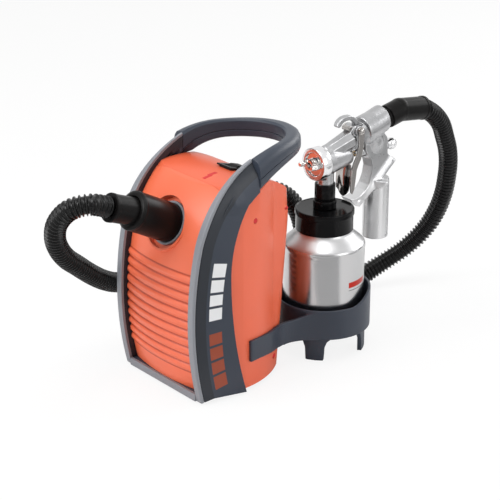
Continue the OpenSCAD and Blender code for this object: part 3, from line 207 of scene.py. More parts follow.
def moulded(name, color, rough, grain=grain_size, depth=grain_depth, **fixed):
    finish = Finish(name, color, rough, **fixed)
    slow = finish.noise(slow_size)
    fine = finish.noise(grain)
    finish.set("Base Color", finish.tint(slow, shade(color, 0.96), shade(color, 1.04)))
    finish.set("Roughness", slow * 0.08 + (rough - 0.04))
    finish.bump(fine, depth, 0.6)
    return finish.material


dull = {"Specular_IOR_Level": 0.12}
orange = moulded("orange_plastic", (0.80, 0.135, 0.058), 0.36)
deep_red = moulded("red_recess", (0.62, 0.008, 0.010), 0.4)
trim_grey = moulded("trim_plastic", (0.23, 0.24, 0.265), 0.34, Specular_IOR_Level=0.5)
black = moulded("black_plastic", (0.006, 0.0055, 0.0055), 0.3, **dull)
dark = moulded("dark_plastic", (0.02, 0.02, 0.023), 0.5, **dull)
rubber = moulded("black_rubber", (0.012, 0.012, 0.012), 0.7, **dull)
foam = moulded("foam", (0.06, 0.06, 0.065), 0.9, grain=0.0018, depth=0.0008)
lid_black = moulded("lid_plastic", (0.004, 0.004, 0.0045), 0.12, **dull)
white = moulded("white_plastic", (0.8, 0.8, 0.78), 0.45)
print("plastics ready")

# %% [markdown]
# The front panel is the orange plastic, painted a little lighter: painted light for the
# front that faces the lamps. Each valley between its ribs is drawn as a thin darker line
# at its height: painted shade, for the shadow that each rib casts. A cosine of the height
# repeats with the ribs, and a high power makes its peaks thin.

# %% Ribbed panel plastic
rib_first, rib_step_z, rib_number = 0.040, 0.011, 11
rib_foot, rib_head = rib_first - 0.0075, rib_first + (rib_number - 0.42) * rib_step_z
panel_finish = Finish("panel_plastic", (0.84, 0.155, 0.068), 0.36)
slow, fine = panel_finish.noise(slow_size), panel_finish.noise(grain_size)
height = panel_finish.axes()[2]
wave = ((height - rib_first) * (2 * math.pi / rib_step_z) + 0.35).math("COSINE")
painted_rib_shade = ((1.0 - wave) * 0.5).power(14.0)
ribbed = height.within(rib_foot, rib_head, 0.001)
# painted light: the panel's skin is a lighter copy of the orange plastic
skin = panel_finish.tint(slow, (0.82, 0.15, 0.065), (0.86, 0.165, 0.075))
# painted shade: a thin dark line in each valley between the ribs
panel_finish.set("Base Color", panel_finish.tint(painted_rib_shade * ribbed * 0.7, skin, (0.26, 0.018, 0.007)))
panel_finish.set("Roughness", slow * 0.08 + 0.32)
panel_finish.bump(fine, grain_depth, 0.6)
panel_orange = panel_finish.material
print("panel plastic ready")

# %% [markdown]
# The hose is blown from a black thermoplastic. Dust lies in its valleys and its crests
# are worn a little smoother, so the roughness wanders from ring to ring.

# %% Hose plastic
hose_finish = Finish("hose_plastic", (0.005, 0.005, 0.0055), 0.2, Specular_IOR_Level=0.22)
dust = hose_finish.noise(0.012, detail=5.0)
hose_finish.set("Base Color", hose_finish.tint(dust, (0.003, 0.003, 0.0032), (0.010, 0.010, 0.010)))
hose_finish.set("Roughness", dust * 0.16 + 0.12)
hose_black = hose_finish.material
print("hose plastic ready")

# %% [markdown]
# The frame is slate with a darker front chamfer. Its right band carries a printed row
# of plain bars, white above and rust below. The band's front edge is an arc, so the
# print is placed by the distance from that arc's centre and the angle round it. Above
# `turn_z` the edge turns into a second, smaller arc round the crown's centre.

# %% Slate, and the printed band
slate_color, chamfer_color = (0.036, 0.045, 0.064), (0.019, 0.022, 0.028)
arc_y, arc_z, arc_r, turn_z = 218 * MM, 97 * MM, 373.8 * MM, 192 * MM
crown_y, crown_z, crown_r = -34.6 * MM, 155 * MM, 114.8 * MM
print_in, print_out = 353.2 * MM, 369.8 * MM
# Each printed bar runs from one angle round the arc to the next, in degrees
white_bars = ((9.35, 11.9), (6.55, 8.85), (4.0, 6.05), (1.2, 3.5))
rust_bars = ((-3.6, -1.35), (-6.5, -4.1), (-9.4, -7.0), (-12.6, -9.9))
slate_gloss = {"Specular_IOR_Level": 0.35}
slate = moulded("slate_plastic", slate_color, 0.40, **slate_gloss)


def turn_round(rise, reach):
    """The angle of a point round a centre, in degrees."""
    return rise.math("ARCTAN2", reach) * (180 / math.pi)


def band_finish(name, printed):
    finish = Finish(name, slate_color, 0.40, **slate_gloss)
    x, y, z = finish.axes()

    def distance(cy, cz):
        return ((y - cy) * (y - cy) + (z - cz) * (z - cz)).power(0.5)

    low_r = distance(arc_y, arc_z)
    upper = z.above(turn_z, 0.001)
    front = (low_r.above(arc_r, 0.0003) * (1.0 - upper)
             + distance(crown_y, crown_z).above(crown_r, 0.0003) * upper)
    slow, fine = finish.noise(slow_size), finish.noise(grain_size)
    tone = finish.tint(slow, shade(slate_color, 0.96), shade(slate_color, 1.04))
    tone = finish.tint(front * 0.85, tone, chamfer_color)
    if printed:
        turn = turn_round(z - arc_z, arc_y - y)
        row = low_r.within(print_in, print_out, 0.0002) * (1.0 - front)
        for bars, ink in ((white_bars, (0.78, 0.79, 0.80)), (rust_bars, (0.30, 0.055, 0.022))):
            for low, high in bars:
                tone = finish.tint(row * turn.within(low, high, 0.04), tone, ink)
    finish.set("Base Color", tone)
    finish.set("Roughness", slow * 0.08 + 0.35)
    finish.bump(fine, grain_depth, 0.6)
    return finish.material


plain_band, printed_band = band_finish("band_plain", False), band_finish("band_printed", True)
print("slate ready")

# %% [markdown]
# Metal shows how it was made. Turned faces have rings, sheet has rolling lines, and a
# winding has its wires. Each is one noise, stretched the way the tool went.

# %% Metals
def metal(name, color, rough, size, stretch, depth, spread=0.12):
    finish = Finish(name, color, rough, 1.0)
    lines = finish.noise(size, stretch)
    slow = finish.noise(0.02)
    finish.set("Base Color", finish.tint(slow, shade(color, 0.93), shade(color, 1.03)))
    finish.set("Roughness", lines * spread + slow * 0.08 + (rough - spread / 2 - 0.04))
    finish.bump(lines, depth, 0.5)
    return finish.material


even = (1, 1, 1)
turned = metal("turned_aluminium", (0.80, 0.80, 0.81), 0.20, 0.004, (1, 9, 1), 0.00001)
sheet = metal("sheet_steel", (0.52, 0.53, 0.55), 0.38, 0.004, (1, 1, 6), 0.00002)
steel = metal("steel", (0.58, 0.58, 0.59), 0.25, 0.002, even, 0.00001)
brass = metal("brass", (0.62, 0.42, 0.20), 0.22, 0.002, (1, 5, 1), 0.00001)
copper = metal("copper_winding", (0.60, 0.25, 0.12), 0.35, 0.001, (0.2, 0.2, 3), 0.0001)
chrome = metal("bright_casting", (0.44, 0.42, 0.405), 0.12, 0.004, even, 0.00002, 0.05)
polished = metal("polished_cap", (0.90, 0.88, 0.86), 0.07, 0.004, even, 0.00001, 0.03)
print("metals ready")

# %% [markdown]
# The spun cup is satin, with fine level lines round it and a duller shoulder above its
# bead. It carries a small printed bar with a fine line below.

# %% Spun cup
cup_x, cup_y, shoulder_z = 28 * MM, 60 * MM, 137.5 * MM
mark_from, mark_to = -4, 34  # degrees round the cup
cup_marks = ((90.5 * MM, 97.5 * MM, (0.45, 0.03, 0.02)), (86.8 * MM, 87.6 * MM, (0.08, 0.08, 0.09)))
spun_finish = Finish("cup_aluminium", (0.60, 0.60, 0.605), 0.27, 1.0)
lines = spun_finish.noise(0.02, (0.05, 0.05, 40))
slow = spun_finish.noise(slow_size)
x, y, z = spun_finish.axes()
turn = turn_round(y - cup_y, x - cup_x)
skin = spun_finish.tint(lines * 0.6 + slow * 0.4, (0.46, 0.46, 0.465), (0.60, 0.60, 0.605))
for foot, top, ink in cup_marks:
    mark = turn.within(mark_from, mark_to, 0.3) * z.within(foot, top, 0.0001)
    skin = spun_finish.tint(mark, skin, ink)
spun_finish.set("Base Color", skin)
shoulder = z.above(shoulder_z, 0.002)
spun_finish.set("Roughness", lines * 0.10 + slow * 0.04 + shoulder * 0.14 + 0.14)
spun_finish.bump(lines, 0.00001, 0.5)
spun = spun_finish.material
print("spun cup ready")

# %% [markdown]
# The gun is a satin aluminium casting. Its skin has soft dents a few millimetres
# apart. The rear of the grip has a coarse leather-like texture for the hand. Lower down,
# in front of that rear, the casting is painted lighter: a painted highlight on the grip's
# sides and the guard.

# %% Cast gun
grip_rear, grip_low, grip_high, grip_highlight_top = 147.5 * MM, 126.5 * MM, 196 * MM, 205 * MM
cast_finish = Finish("cast_aluminium", (0.62, 0.62, 0.63), 0.33, 1.0)
dents = cast_finish.noise(0.0022, detail=4.0)
slow = cast_finish.noise(0.015)
x, y, z = cast_finish.axes()
rear = y.above(grip_rear, 0.002)
textured = rear * (1.0 - z.above(grip_high, 0.003)) * z.above(grip_low, 0.001)
# painted highlight: the casting low down and in front of the grip's rear
painted_grip_highlight = (1.0 - z.above(grip_highlight_top, 0.012)) * (1.0 - rear)
cells = cast_finish.node("ShaderNodeTexVoronoi", {"feature": "SMOOTH_F1"},
                         {"Vector": cast_finish.place(), "Scale": 420.0, "Smoothness": 0.4})
skin = cast_finish.tint(slow, (0.36, 0.365, 0.375), (0.50, 0.50, 0.505))
# painted highlight: that lower casting is mixed towards a light grey
cast_finish.set("Base Color", cast_finish.tint(painted_grip_highlight * 0.6, skin, (0.82, 0.82, 0.825)))
cast_finish.set("Roughness", dents * 0.14 + slow * 0.08 + textured * 0.08 + 0.19)
cast_finish.bump(dents * 0.08 + (1.0 - cells) * textured, 0.0022, 0.8)
cast = cast_finish.material
print("castings ready")

# %% [markdown]
# Every node gets the finish of its material slot, the ones inside the unit too.

# %% Give every node its finish
finish_of = {
    "orange_plastic": orange, "slate_plastic": slate, "trim_plastic": trim_grey,
    "black_plastic": black, "dark_plastic": dark, "hose_plastic": hose_black,
    "black_rubber": rubber, "foam": foam, "sheet_steel": sheet, "turned_aluminium": turned,
    "cast_aluminium": cast, "cup_aluminium": spun, "copper_winding": copper, "steel": steel,
    "brass": brass, "lid_plastic": lid_black, "white_plastic": white,
}
slot_of = {part["node"]: part["material_slot"] for part in frame["record"]["subparts"]}
body_of = {node: body for body, nodes in frame["record"]["behaviour"]["bodies"].items()
           for node in nodes}
for name, node in frame["nodes"].items():
    node.data.materials.clear()
    node.data.materials.append(finish_of[slot_of[name]])
print("finishes on", len(frame["nodes"]), "nodes")

# %% [markdown]
# ## Helpers
# A new piece either belongs with a node's piece or stands for the node. Both ride on
# the node's body and take the finish of its slot; one that stands for it hides it too.

# %% Adopt
def join_in(piece, node, finish=None):
    """piece belongs with a node's own piece, rides with it and takes its slot."""
    piece.data.materials.clear()
    piece.data.materials.append(finish or finish_of[slot_of[node]])
    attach(piece, body_of[node])
    return piece


def adopt(piece, *nodes, finish=None):
    """piece stands for these nodes and moves with them."""
    join_in(piece, nodes[0], finish)
    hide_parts(*nodes)
    return piece


def new_mesh(name, verts, faces):
    mesh = bpy.data.meshes.new(name)
    mesh.from_pydata(verts, [], faces)
    mesh.update()
    piece = bpy.data.objects.new(name, mesh)
    bpy.context.scene.collection.objects.link(piece)
    for face in mesh.polygons:
        face.use_smooth = True
    return piece


def primitive(add, **settings):
    """A new mesh primitive, alone in the selection."""
    bpy.ops.object.select_all(action="DESELECT")
    add(**settings)
    return bpy.context.active_object


def only(piece):
    bpy.ops.object.select_all(action="DESELECT")
    piece.select_set(True)
    bpy.context.view_layer.objects.active = piece


def apply_all(piece):
    only(piece)
    for modifier in list(piece.modifiers):
        bpy.ops.object.modifier_apply(modifier=modifier.name)


def smooth_step(t):
    t = min(max(t, 0.0), 1.0)
    return t * t * (3 - 2 * t)


print("helpers ready")

# %% [markdown]
# A few ways of making a form are used over and over. The first is a copy of a CAD
# solid with rounded edges. Its flat faces are joined first, so that a bevel meets
# whole faces, and weighted normals keep them flat beside the rounds.

# %% Rounded copies of solids
smooth_below = math.radians(32)


def solid_copy(node_name, name=None):
    node = frame["nodes"][node_name]
    piece = bpy.data.objects.new(name or node_name + "_shell", node.data.copy())
    bpy.context.scene.collection.objects.link(piece)
    only(piece)
    bpy.ops.object.mode_set(mode="EDIT")
    bpy.ops.mesh.select_all(action="SELECT")
    bpy.ops.mesh.remove_doubles(threshold=1e-6)
    bpy.ops.mesh.dissolve_limited(angle_limit=math.radians(0.6))
    bpy.ops.object.mode_set(mode="OBJECT")
    return piece


def bevelled(piece, width, angle=35, segments=3):
    edge = piece.modifiers.new("edge", "BEVEL")
    edge.width, edge.segments, edge.limit_method = width, segments, "ANGLE"
    edge.angle_limit, edge.use_clamp_overlap = math.radians(angle), True
    apply_all(piece)
    bpy.ops.object.shade_smooth_by_angle(angle=smooth_below)
    flat = piece.modifiers.new("flat", "WEIGHTED_NORMAL")
    flat.keep_sharp = True
    apply_all(piece)
    return piece


def rounded(node_name, width):
    return bevelled(solid_copy(node_name), width)


def block(name, place):
    """A cube of one metre, put in its place and size by a matrix."""
    piece = primitive(bpy.ops.mesh.primitive_cube_add, size=1)
    piece.name = name
    piece.data.transform(place)
    return piece


print("rounded copies ready")

# %% [markdown]
# The second is a profile spun round an axis, as on a lathe. A single vertex is drawn
# out along the profile and the line is spun.

# %% Lathe
def frame_along(toward):
    """A turn that stands +Z along a direction."""
    return Vector(toward).to_track_quat("Z", "Y").to_matrix().to_4x4()


def lathe(name, profile, at, toward=(0, 0, 1), steps=72):
    """A profile of (radius, height) in mm, spun round the axis through at (mm)."""
    piece = primitive(bpy.ops.mesh.primitive_plane_add, size=0.01)
    piece.name = name
    bpy.ops.object.mode_set(mode="EDIT")
    bpy.ops.mesh.select_all(action="SELECT")
    bpy.ops.mesh.merge(type="CENTER")
    bpy.ops.transform.translate(value=(profile[0][0] * MM, 0, profile[0][1] * MM))
    for (r0, h0), (r1, h1) in zip(profile, profile[1:]):
        bpy.ops.mesh.extrude_vertices_move(
            TRANSFORM_OT_translate={"value": ((r1 - r0) * MM, 0, (h1 - h0) * MM)})
    bpy.ops.mesh.select_all(action="SELECT")
    bpy.ops.mesh.spin(steps=steps, angle=2 * math.pi, center=(0, 0, 0), axis=(0, 0, 1))
    bpy.ops.mesh.select_all(action="SELECT")
    bpy.ops.mesh.remove_doubles(threshold=1e-6)
    bpy.ops.mesh.normals_make_consistent(inside=False)
    bpy.ops.object.mode_set(mode="OBJECT")
    piece.data.transform(Matrix.Translation(Vector(at) * MM) @ frame_along(toward))
    bpy.ops.object.shade_smooth_by_angle(angle=smooth_below)
    return piece


print("lathe ready")

# %% [markdown]
# The third is a flat outline pushed to a thickness, for levers and hooks.

# %% Outline pushed to a thickness
def plate(name, outline, low, high, at):
    """A side outline of (y, z) in mm, from low to high along X, measured from at."""
    piece = primitive(bpy.ops.mesh.primitive_circle_add, vertices=len(outline), radius=0.01,
                      fill_type="NGON")
    piece.name = name
    for vertex, (y, z) in zip(piece.data.vertices, outline):
        vertex.co = (Vector(at) + Vector((low, y, z))) * MM
    bpy.ops.object.mode_set(mode="EDIT")
    bpy.ops.mesh.select_all(action="SELECT")
    bpy.ops.mesh.extrude_region_move(TRANSFORM_OT_translate={"value": ((high - low) * MM, 0, 0)})
    bpy.ops.mesh.select_all(action="SELECT")
    bpy.ops.mesh.normals_make_consistent(inside=False)
    bpy.ops.object.mode_set(mode="OBJECT")
    return piece


print("plates ready")

# %% [markdown]
# The last melts overlapping forms into one skin, as in a casting: a voxel remesh joins
# them, and a smooth modifier rounds each inner corner. Balls and rods feed it.

# %% Melt overlapping forms into one skin
def melted(name, parts, voxel):
    bpy.ops.object.select_all(action="DESELECT")
    for part in parts:
        part.select_set(True)
    bpy.context.view_layer.objects.active = parts[0]
    bpy.ops.object.join()
    piece = parts[0]
    piece.name = name
    skin = piece.modifiers.new("skin", "REMESH")
    skin.mode, skin.voxel_size, skin.use_smooth_shade = "VOXEL", voxel * MM, True
    apply_all(piece)
    return piece


def softened(piece, rounds):
    soften = piece.modifiers.new("soften", "SMOOTH")
    soften.factor, soften.iterations = 0.5, rounds
    apply_all(piece)
    return piece


def cut_by(piece, cutter):
    cut = piece.modifiers.new("cut", "BOOLEAN")
    cut.object, cut.operation, cut.solver = cutter, "DIFFERENCE", "MANIFOLD"
    apply_all(piece)
    bpy.data.objects.remove(cutter)


def ball(centre, radii):
    piece = primitive(bpy.ops.mesh.primitive_uv_sphere_add, segments=48, ring_count=24, radius=1)
    piece.data.transform(Matrix.Translation(Vector(centre) * MM)
                         @ Matrix.Diagonal((*(Vector(radii) * MM), 1)))
    return piece


def rod(start, end, radius, end_radius=None, sides=48, turn=0):
    """A round or many-sided rod or taper between two points, all in mm."""
    start, end = Vector(start), Vector(end)
    piece = primitive(bpy.ops.mesh.primitive_cone_add, vertices=sides, radius1=radius * MM,
                      radius2=(end_radius or radius) * MM, depth=(end - start).length * MM)
    piece.data.transform(Matrix.Rotation(math.radians(turn), 4, "Z"))
    piece.data.transform(Matrix.Translation((start + end) / 2 * MM) @ frame_along(end - start))
    return piece


print("ways of making ready")

# %% [markdown]
# ## The hose
# A ribbed hose is a thin wall blown into rings 5.2 mm apart. It leaves the sleeve
# on the unit's front, swings round the unit's left, leans on its rear corner, falls
# behind the cup and rises in a wide bow to the gun. The centre line is one smooth
# curve through chosen points.

# %% The route
hose_points = [
    (-6, -229, 238), (-8, -252, 246), (-22, -270, 240), (-39, -276, 221), (-53, -271, 198),
    (-64, -259, 177), (-74, -243, 159), (-82, -225, 144), (-91, -207, 129), (-99, -189, 115),
    (-108, -170, 102), (-116, -149, 91), (-122, -126, 85), (-126, -102, 87), (-126, -79, 95),
    (-122, -58, 107), (-116, -39, 121), (-108, -20, 135), (-99, -1, 149), (-89, 18, 162),
    (-78, 38, 172), (-66, 59, 175), (-57, 77, 163), (-52, 89, 142), (-51, 96, 118),
    (-52, 103, 95), (-54, 112, 72), (-57, 124, 52), (-61, 140, 33), (-65, 161, 20),
    (-68, 185, 13.5), (-68, 210, 15), (-64, 233, 24.5), (-56, 254, 36), (-45, 271, 50),
    (-34, 285, 67), (-24, 296, 87), (-15, 302, 110), (-8, 304, 133), (-1, 301, 157),
    (6, 295, 180), (12, 286, 202), (17, 274, 223), (22, 261, 243), (26, 243, 260), (28, 222, 273),
]
hose_points = [Vector(p) * MM for p in hose_points]


def spline(points, fine=12):
    made = []
    for i in range(len(points) - 1):
        a, b = points[max(i - 1, 0)], points[i]
        c, d = points[i + 1], points[min(i + 2, len(points) - 1)]
        for k in range(fine):
            t = k / fine
            made.append(0.5 * (2 * b + (c - a) * t + (2 * a - 5 * b + 4 * c - d) * t * t
                               + (3 * b - a - 3 * c + d) * t ** 3))
    return made + [points[-1]]


centre_line = spline(hose_points)
travel = [0.0]
for a, b in zip(centre_line, centre_line[1:]):
    travel.append(travel[-1] + (b - a).length)
hose_length = travel[-1]


def along(s):
    """The point at a distance along the route."""
    s = min(max(s, 0), hose_length)
    i = next(k for k in range(1, len(travel)) if travel[k] >= s)
    t = (s - travel[i - 1]) / (travel[i] - travel[i - 1])
    return centre_line[i - 1].lerp(centre_line[i], t)


print("hose length", round(hose_length, 3))

# %% [markdown]
# The rings are swept along that line. Each circle stands square to the way ahead, and
# its side is carried on from the circle before, so the tube never twists.

# %% Sweep the rings
hose_r, hose_root = 12.4 * MM, 10.0 * MM
rib_pitch = 5.2 * MM
hose_sides = 32
# One rib: share of the pitch, radius
rib_shape = [(0.0, hose_root), (0.34, hose_root), (0.44, hose_root + 0.5 * MM),
             (0.54, hose_r - 0.4 * MM), (0.61, hose_r), (0.73, hose_r), (0.80, hose_r - 0.4 * MM),
             (0.90, hose_root + 0.5 * MM)]


def swept(name, stations, sides):
    """A tube of rings at stations (distance, radius) along the hose's route."""
    verts, faces, side = [], [], Vector((1, 0, 0))
    for s, radius in stations:
        ahead = (along(s + 0.003) - along(s - 0.003)).normalized()
        side = (side - ahead * side.dot(ahead)).normalized()
        up = ahead.cross(side)
        centre = along(s)
        verts += [centre + radius * (math.cos(a) * side + math.sin(a) * up)
                  for a in (2 * math.pi * j / sides for j in range(sides))]
    for i in range(len(stations) - 1):
        for j in range(sides):
            a, b = i * sides + j, i * sides + (j + 1) % sides
            faces.append((a, b, b + sides, a + sides))
    return new_mesh(name, verts, faces)


ribs = int(hose_length / rib_pitch)
stations = [((i + share) * rib_pitch, radius) for i in range(ribs) for share, radius in rib_shape]
hose = adopt(swept("ribbed_hose", stations, hose_sides), "air_hose")
print("ribs", ribs, "triangles", 2 * len(hose.data.polygons))

# %% [markdown]
# A stiff sleeve swivels in the outlet and holds the hose's cuff, and a second cuff
# bends into the gun. The cuff is a little thicker than its solid, so it is swollen
# about its own axis.

# %% Sleeve and cuffs
port, port_tilt, swivel_out = Vector((-6.5, -152.9, 203)), math.radians(28), 42
out_of_port = Vector((0, -math.cos(port_tilt), math.sin(port_tilt)))
swivel = port + swivel_out * out_of_port
elbow = Vector((28, 180.6, 278.3))
hose_start, hose_end = hose_points[0] / MM, hose_points[-1] / MM
into_hose = (hose_start - swivel).normalized()
from_elbow = hose_end - elbow
cuff_swell = 1.12

sleeve = adopt(rounded("hose_sleeve", 1.4 * MM), "hose_sleeve")
cuff = adopt(rounded("hose_cuff", 0.9 * MM), "hose_cuff")
for vertex in cuff.data.vertices:
    foot = swivel * MM + into_hose * (vertex.co - swivel * MM).dot(into_hose)
    vertex.co = foot + (vertex.co - foot) * cuff_swell
gun_end = adopt(rounded("gun_cuff", 1.0 * MM), "gun_cuff")
print("cuffs made")

# %% [markdown]
# Each cuff has a raised lip where the softer hose goes in, which keeps it from
# splitting.

# %% Lips
lip_length, lip_proud, lip_back, thin = 4.2, 0.6, 4.4, 1


def lip(name, node, at, toward, radius):
    """A raised ring round a tube's end."""
    bore, rim = radius - thin, radius + lip_proud
    profile = [(bore, 0), (radius + lip_proud * 0.6, 0), (rim, lip_proud * 0.5),
               (rim, lip_length - lip_proud),
               (radius + lip_proud * 0.5, lip_length - lip_proud * 0.3),
               (bore, lip_length), (bore, 0)]
    return join_in(lathe(name, profile, at, toward, 64), node)


shoulder_at = 46.6
shoulder_profile = [(16.8, 0), (22.8, 0), (23.1, 0.6), (23.1, 3.4), (22.6, 4.8), (21.4, 5.8),
                    (19.4, 6.5), (16.8, 6.8), (16.8, 0)]
lips = [join_in(lathe("sleeve_shoulder", shoulder_profile, port + shoulder_at * out_of_port,
                      out_of_port), "hose_sleeve"),
        lip("cuff_lip", "hose_cuff", hose_start - lip_back * into_hose, into_hose, 16.1),
        lip("gun_cuff_lip", "gun_cuff", hose_end - lip_back * from_elbow.normalized(), from_elbow,
            14.4)]
print("lips made, hose", round(hose_length, 3), "m long")

# %% [markdown]
# ## Rounded shells
# The housing, the frame and the handle are mouldings, so their edges get rounds: large
# where a hand goes, small where two shells meet.

# %% Shells
for name, width in (("trim_left", 0.8), ("trim_right", 0.8), ("handle_upper", 0.5),
                    ("handle_lower", 0.5), ("cross_bar", 0.8), ("trim_bottom", 0.8),
                    ("switch_bezel", 0.6), ("switch_rocker", 0.6), ("outlet_collar", 0.8),
                    ("neck_collar", 0.8), ("fluid_knob", 0.5)):
    adopt(rounded(name, width * MM), name)
adopt(rounded("band_left", 1.0 * MM), "band_left", finish=plain_band)
adopt(rounded("band_right", 1.0 * MM), "band_right", finish=printed_band)
adopt(rounded("front_panel", 0.6 * MM), "front_panel", finish=panel_orange)
print("shells rounded")

# %% [markdown]
# The housing's back isn't upright: it leans out towards the roof, so the side grows
# deeper with height. The leaning part starts behind the switch, and what sits on the
# back leans with it. Level cuts give the tall faces points in between, and near the
# top each point also follows the roof's arc down.

# %% Leaning back
unit_x, unit_y = -6.5 * MM, -91 * MM
lean_from, lean_full, lean_rate = 47 * MM, 57 * MM, 0.088  # depths, and shift per height
lean_foot, lean_cuts = 5 * MM, (60, 120, 160, 185, 200, 212)
top_from, top_run, top_less = 190 * MM, 40 * MM, 0.32  # where the roof's arc takes over
roof_y, roof_z, roof_r = 2 * MM, 139 * MM, 114 * MM


def roof_at(y):
    """Height of the roof's arc at a depth."""
    return roof_z + math.sqrt(max(roof_r ** 2 - (y - roof_y) ** 2, 0))


def leaned(piece):
    only(piece)
    bpy.ops.object.mode_set(mode="EDIT")
    for level in lean_cuts:
        bpy.ops.mesh.select_all(action="SELECT")
        bpy.ops.mesh.bisect(plane_co=(0, 0, level * MM), plane_no=(0, 0, 1))
    bpy.ops.object.mode_set(mode="OBJECT")
    for vertex in piece.data.vertices:
        y, z = vertex.co.y - unit_y, vertex.co.z
        share = smooth_step((y - lean_from) / (lean_full - lean_from))
        top = smooth_step((z - top_from) / top_run)
        shift = share * max(z - lean_foot, 0) * lean_rate * (1 - top_less * top)
        vertex.co.z -= top * (roof_at(y) - roof_at(y + shift))
        vertex.co.y += shift
    return piece


for name, width in (("rear_housing", 0.7), ("filter_cover", 0.6), ("filter_foam", 0.4)):
    adopt(bevelled(leaned(solid_copy(name)), width * MM), name)
adopt(bevelled(leaned(solid_copy("housing_screws")), 0.3 * MM), "housing_screws", finish=deep_red)
print("back leans", round(lean_cuts[-1] * MM * lean_rate, 4), "m near the roof")

# %% [markdown]
# The latch slot in the roof shows a deep red slide in two steps. Each block's top and
# bottom follow the roof's arc.

# %% Latch slide
for k, (x, y) in enumerate(((19.5, -15.5), (17.5, -6.5))):
    slide = block(f"latch_slide_{k}", Matrix.Translation((unit_x + x * MM, unit_y + y * MM, 0))
                  @ Matrix.Diagonal((5.4 * MM, 11.4 * MM, 1, 1)))
    for vertex in slide.data.vertices:
        proud = 0.3 * MM if vertex.co.z > 0 else -2 * MM
        vertex.co.z = roof_at(vertex.co.y - unit_y) + proud
    join_in(bevelled(slide, 0.4 * MM), "rear_housing", finish=deep_red)
print("latch slide made")

# %% [markdown]
# Each housing screw lies deep in its hole under a soft red plug, a little below the
# skin. A plug is a short turned disc with a rounded rim.

# %% Screw plugs
plug_profile = [(0, -1.4), (3.25, -1.4), (3.25, -0.4), (3.0, 0), (2.4, 0.15), (0, 0.15)]
plug_places = ((8, 209, 76.2), (58, 207, 53.0), (50, 22, 58.8))  # depth, height, half width
for letter, side in (("l", -1), ("r", 1)):
    for k, (y, z, x) in enumerate(plug_places):
        plug = lathe(f"screw_plug_{letter}{k}", plug_profile,
                     (side * x + unit_x / MM, y + unit_y / MM, z), (side, 0, 0), 32)
        join_in(leaned(plug), "rear_housing", finish=deep_red)
print("plugs made")

# %% [markdown]
# ## Cup holder
# The holder is one moulding: an arm screwed to the housing's side sweeps out and
# becomes the wall round the cup. Its four solids are melted together, so the arm runs
# into the wall and the legs into the floor without a line. The arm's end is drawn a
# little further forward.

# %% Holder
holder_nodes = ("holder_wall", "holder_floor", "holder_legs", "holder_arm")
arm_from, arm_run, arm_longer = -52 * MM, 26 * MM, 6 * MM
holder = softened(melted("holder_shell", [solid_copy(n) for n in holder_nodes], 0.95), 3)
for vertex in holder.data.vertices:
    vertex.co.y -= arm_longer * smooth_step((arm_from - vertex.co.y) / arm_run)
adopt(holder, *holder_nodes)
print("holder triangles", 2 * len(holder.data.polygons))

# %% [markdown]
# ## Cup and lid
# The cup is spun from one disc: a rounded foot, a straight wall, a bead where the wall
# turns into the shoulder, and a straight neck. The lid is a thick moulding with a
# wider rim round its top. A threaded collar with two lugs joins the stem to the gun.

# %% Cup and lid
cup_axis = (28, 60, 0)
cup_outer = [(0, 35.2), (40, 35.2), (42, 34.3), (46, 34.3), (48.2, 35.2), (49.3, 37.5), (49.4, 42),
             (49.4, 129.5), (49.6, 131.3), (50, 132.6), (50, 135.6), (49.4, 137.2), (47.6, 139.2),
             (43, 143.2), (38.2, 147.4), (35.2, 150.4), (33.9, 152.6), (33.5, 154.4), (33.5, 158.2)]
cup_inner = [(32.3, 158.2), (32.3, 154.6), (34.2, 149.8), (41.8, 142.6), (48.2, 136.8), (48.2, 42),
             (46.6, 37), (0, 36.6)]
lid_profile = [(34.2, 153.6), (34.7, 153.3), (35.0, 153.7), (35.0, 172.4), (35.3, 173.2),
               (36, 173.5), (36, 179.0), (35.6, 179.8), (34.8, 180.2), (34.0, 180.2),
               (33.4, 179.7), (20, 179.4), (14.4, 179.4), (9.5, 179.8), (9.5, 160), (33.9, 160),
               (33.9, 153.6), (34.2, 153.6)]
stem_profile = [(9.5, 189), (12.2, 189.2), (12.5, 190), (12.5, 210.2), (12.1, 210.9),
                (10.9, 210.9), (9.5, 189)]
adopt(lathe("cup_shell", cup_outer + cup_inner, cup_axis, steps=120), "cup")
adopt(lathe("lid_shell", lid_profile, cup_axis, steps=120), "cup_lid")
adopt(lathe("stem_shell", stem_profile, cup_axis), "neck_stem")
lug_z, lug_r, lug_size = 186, 14.6, Vector((3.4, 3.2, 3.4))
for k, angle in enumerate((-55, 125)):
    lug = block(f"collar_lug_{k}", Matrix.Translation(Vector((*cup_axis[:2], lug_z)) * MM)
                @ Matrix.Rotation(math.radians(angle), 4, "Z")
                @ Matrix.Translation((lug_r * MM, 0, 0)) @ Matrix.Diagonal((*(lug_size * MM), 1)))
    join_in(bevelled(lug, 0.6 * MM), "neck_collar")
print("cup made")

# %% [markdown]
# ## Gun body
# The casting has no sharp inner corner: the barrel flows into its air way, the rear
# block swells under the inlet, and the guard spreads into a skirt over the grip. All
# these forms overlap the CAD solid and are melted into one skin.

# %% Gun casting
GUN = (28, 60, 238)


def gun_at(x, y, z):
    return Vector(GUN) + Vector((x, y, z))


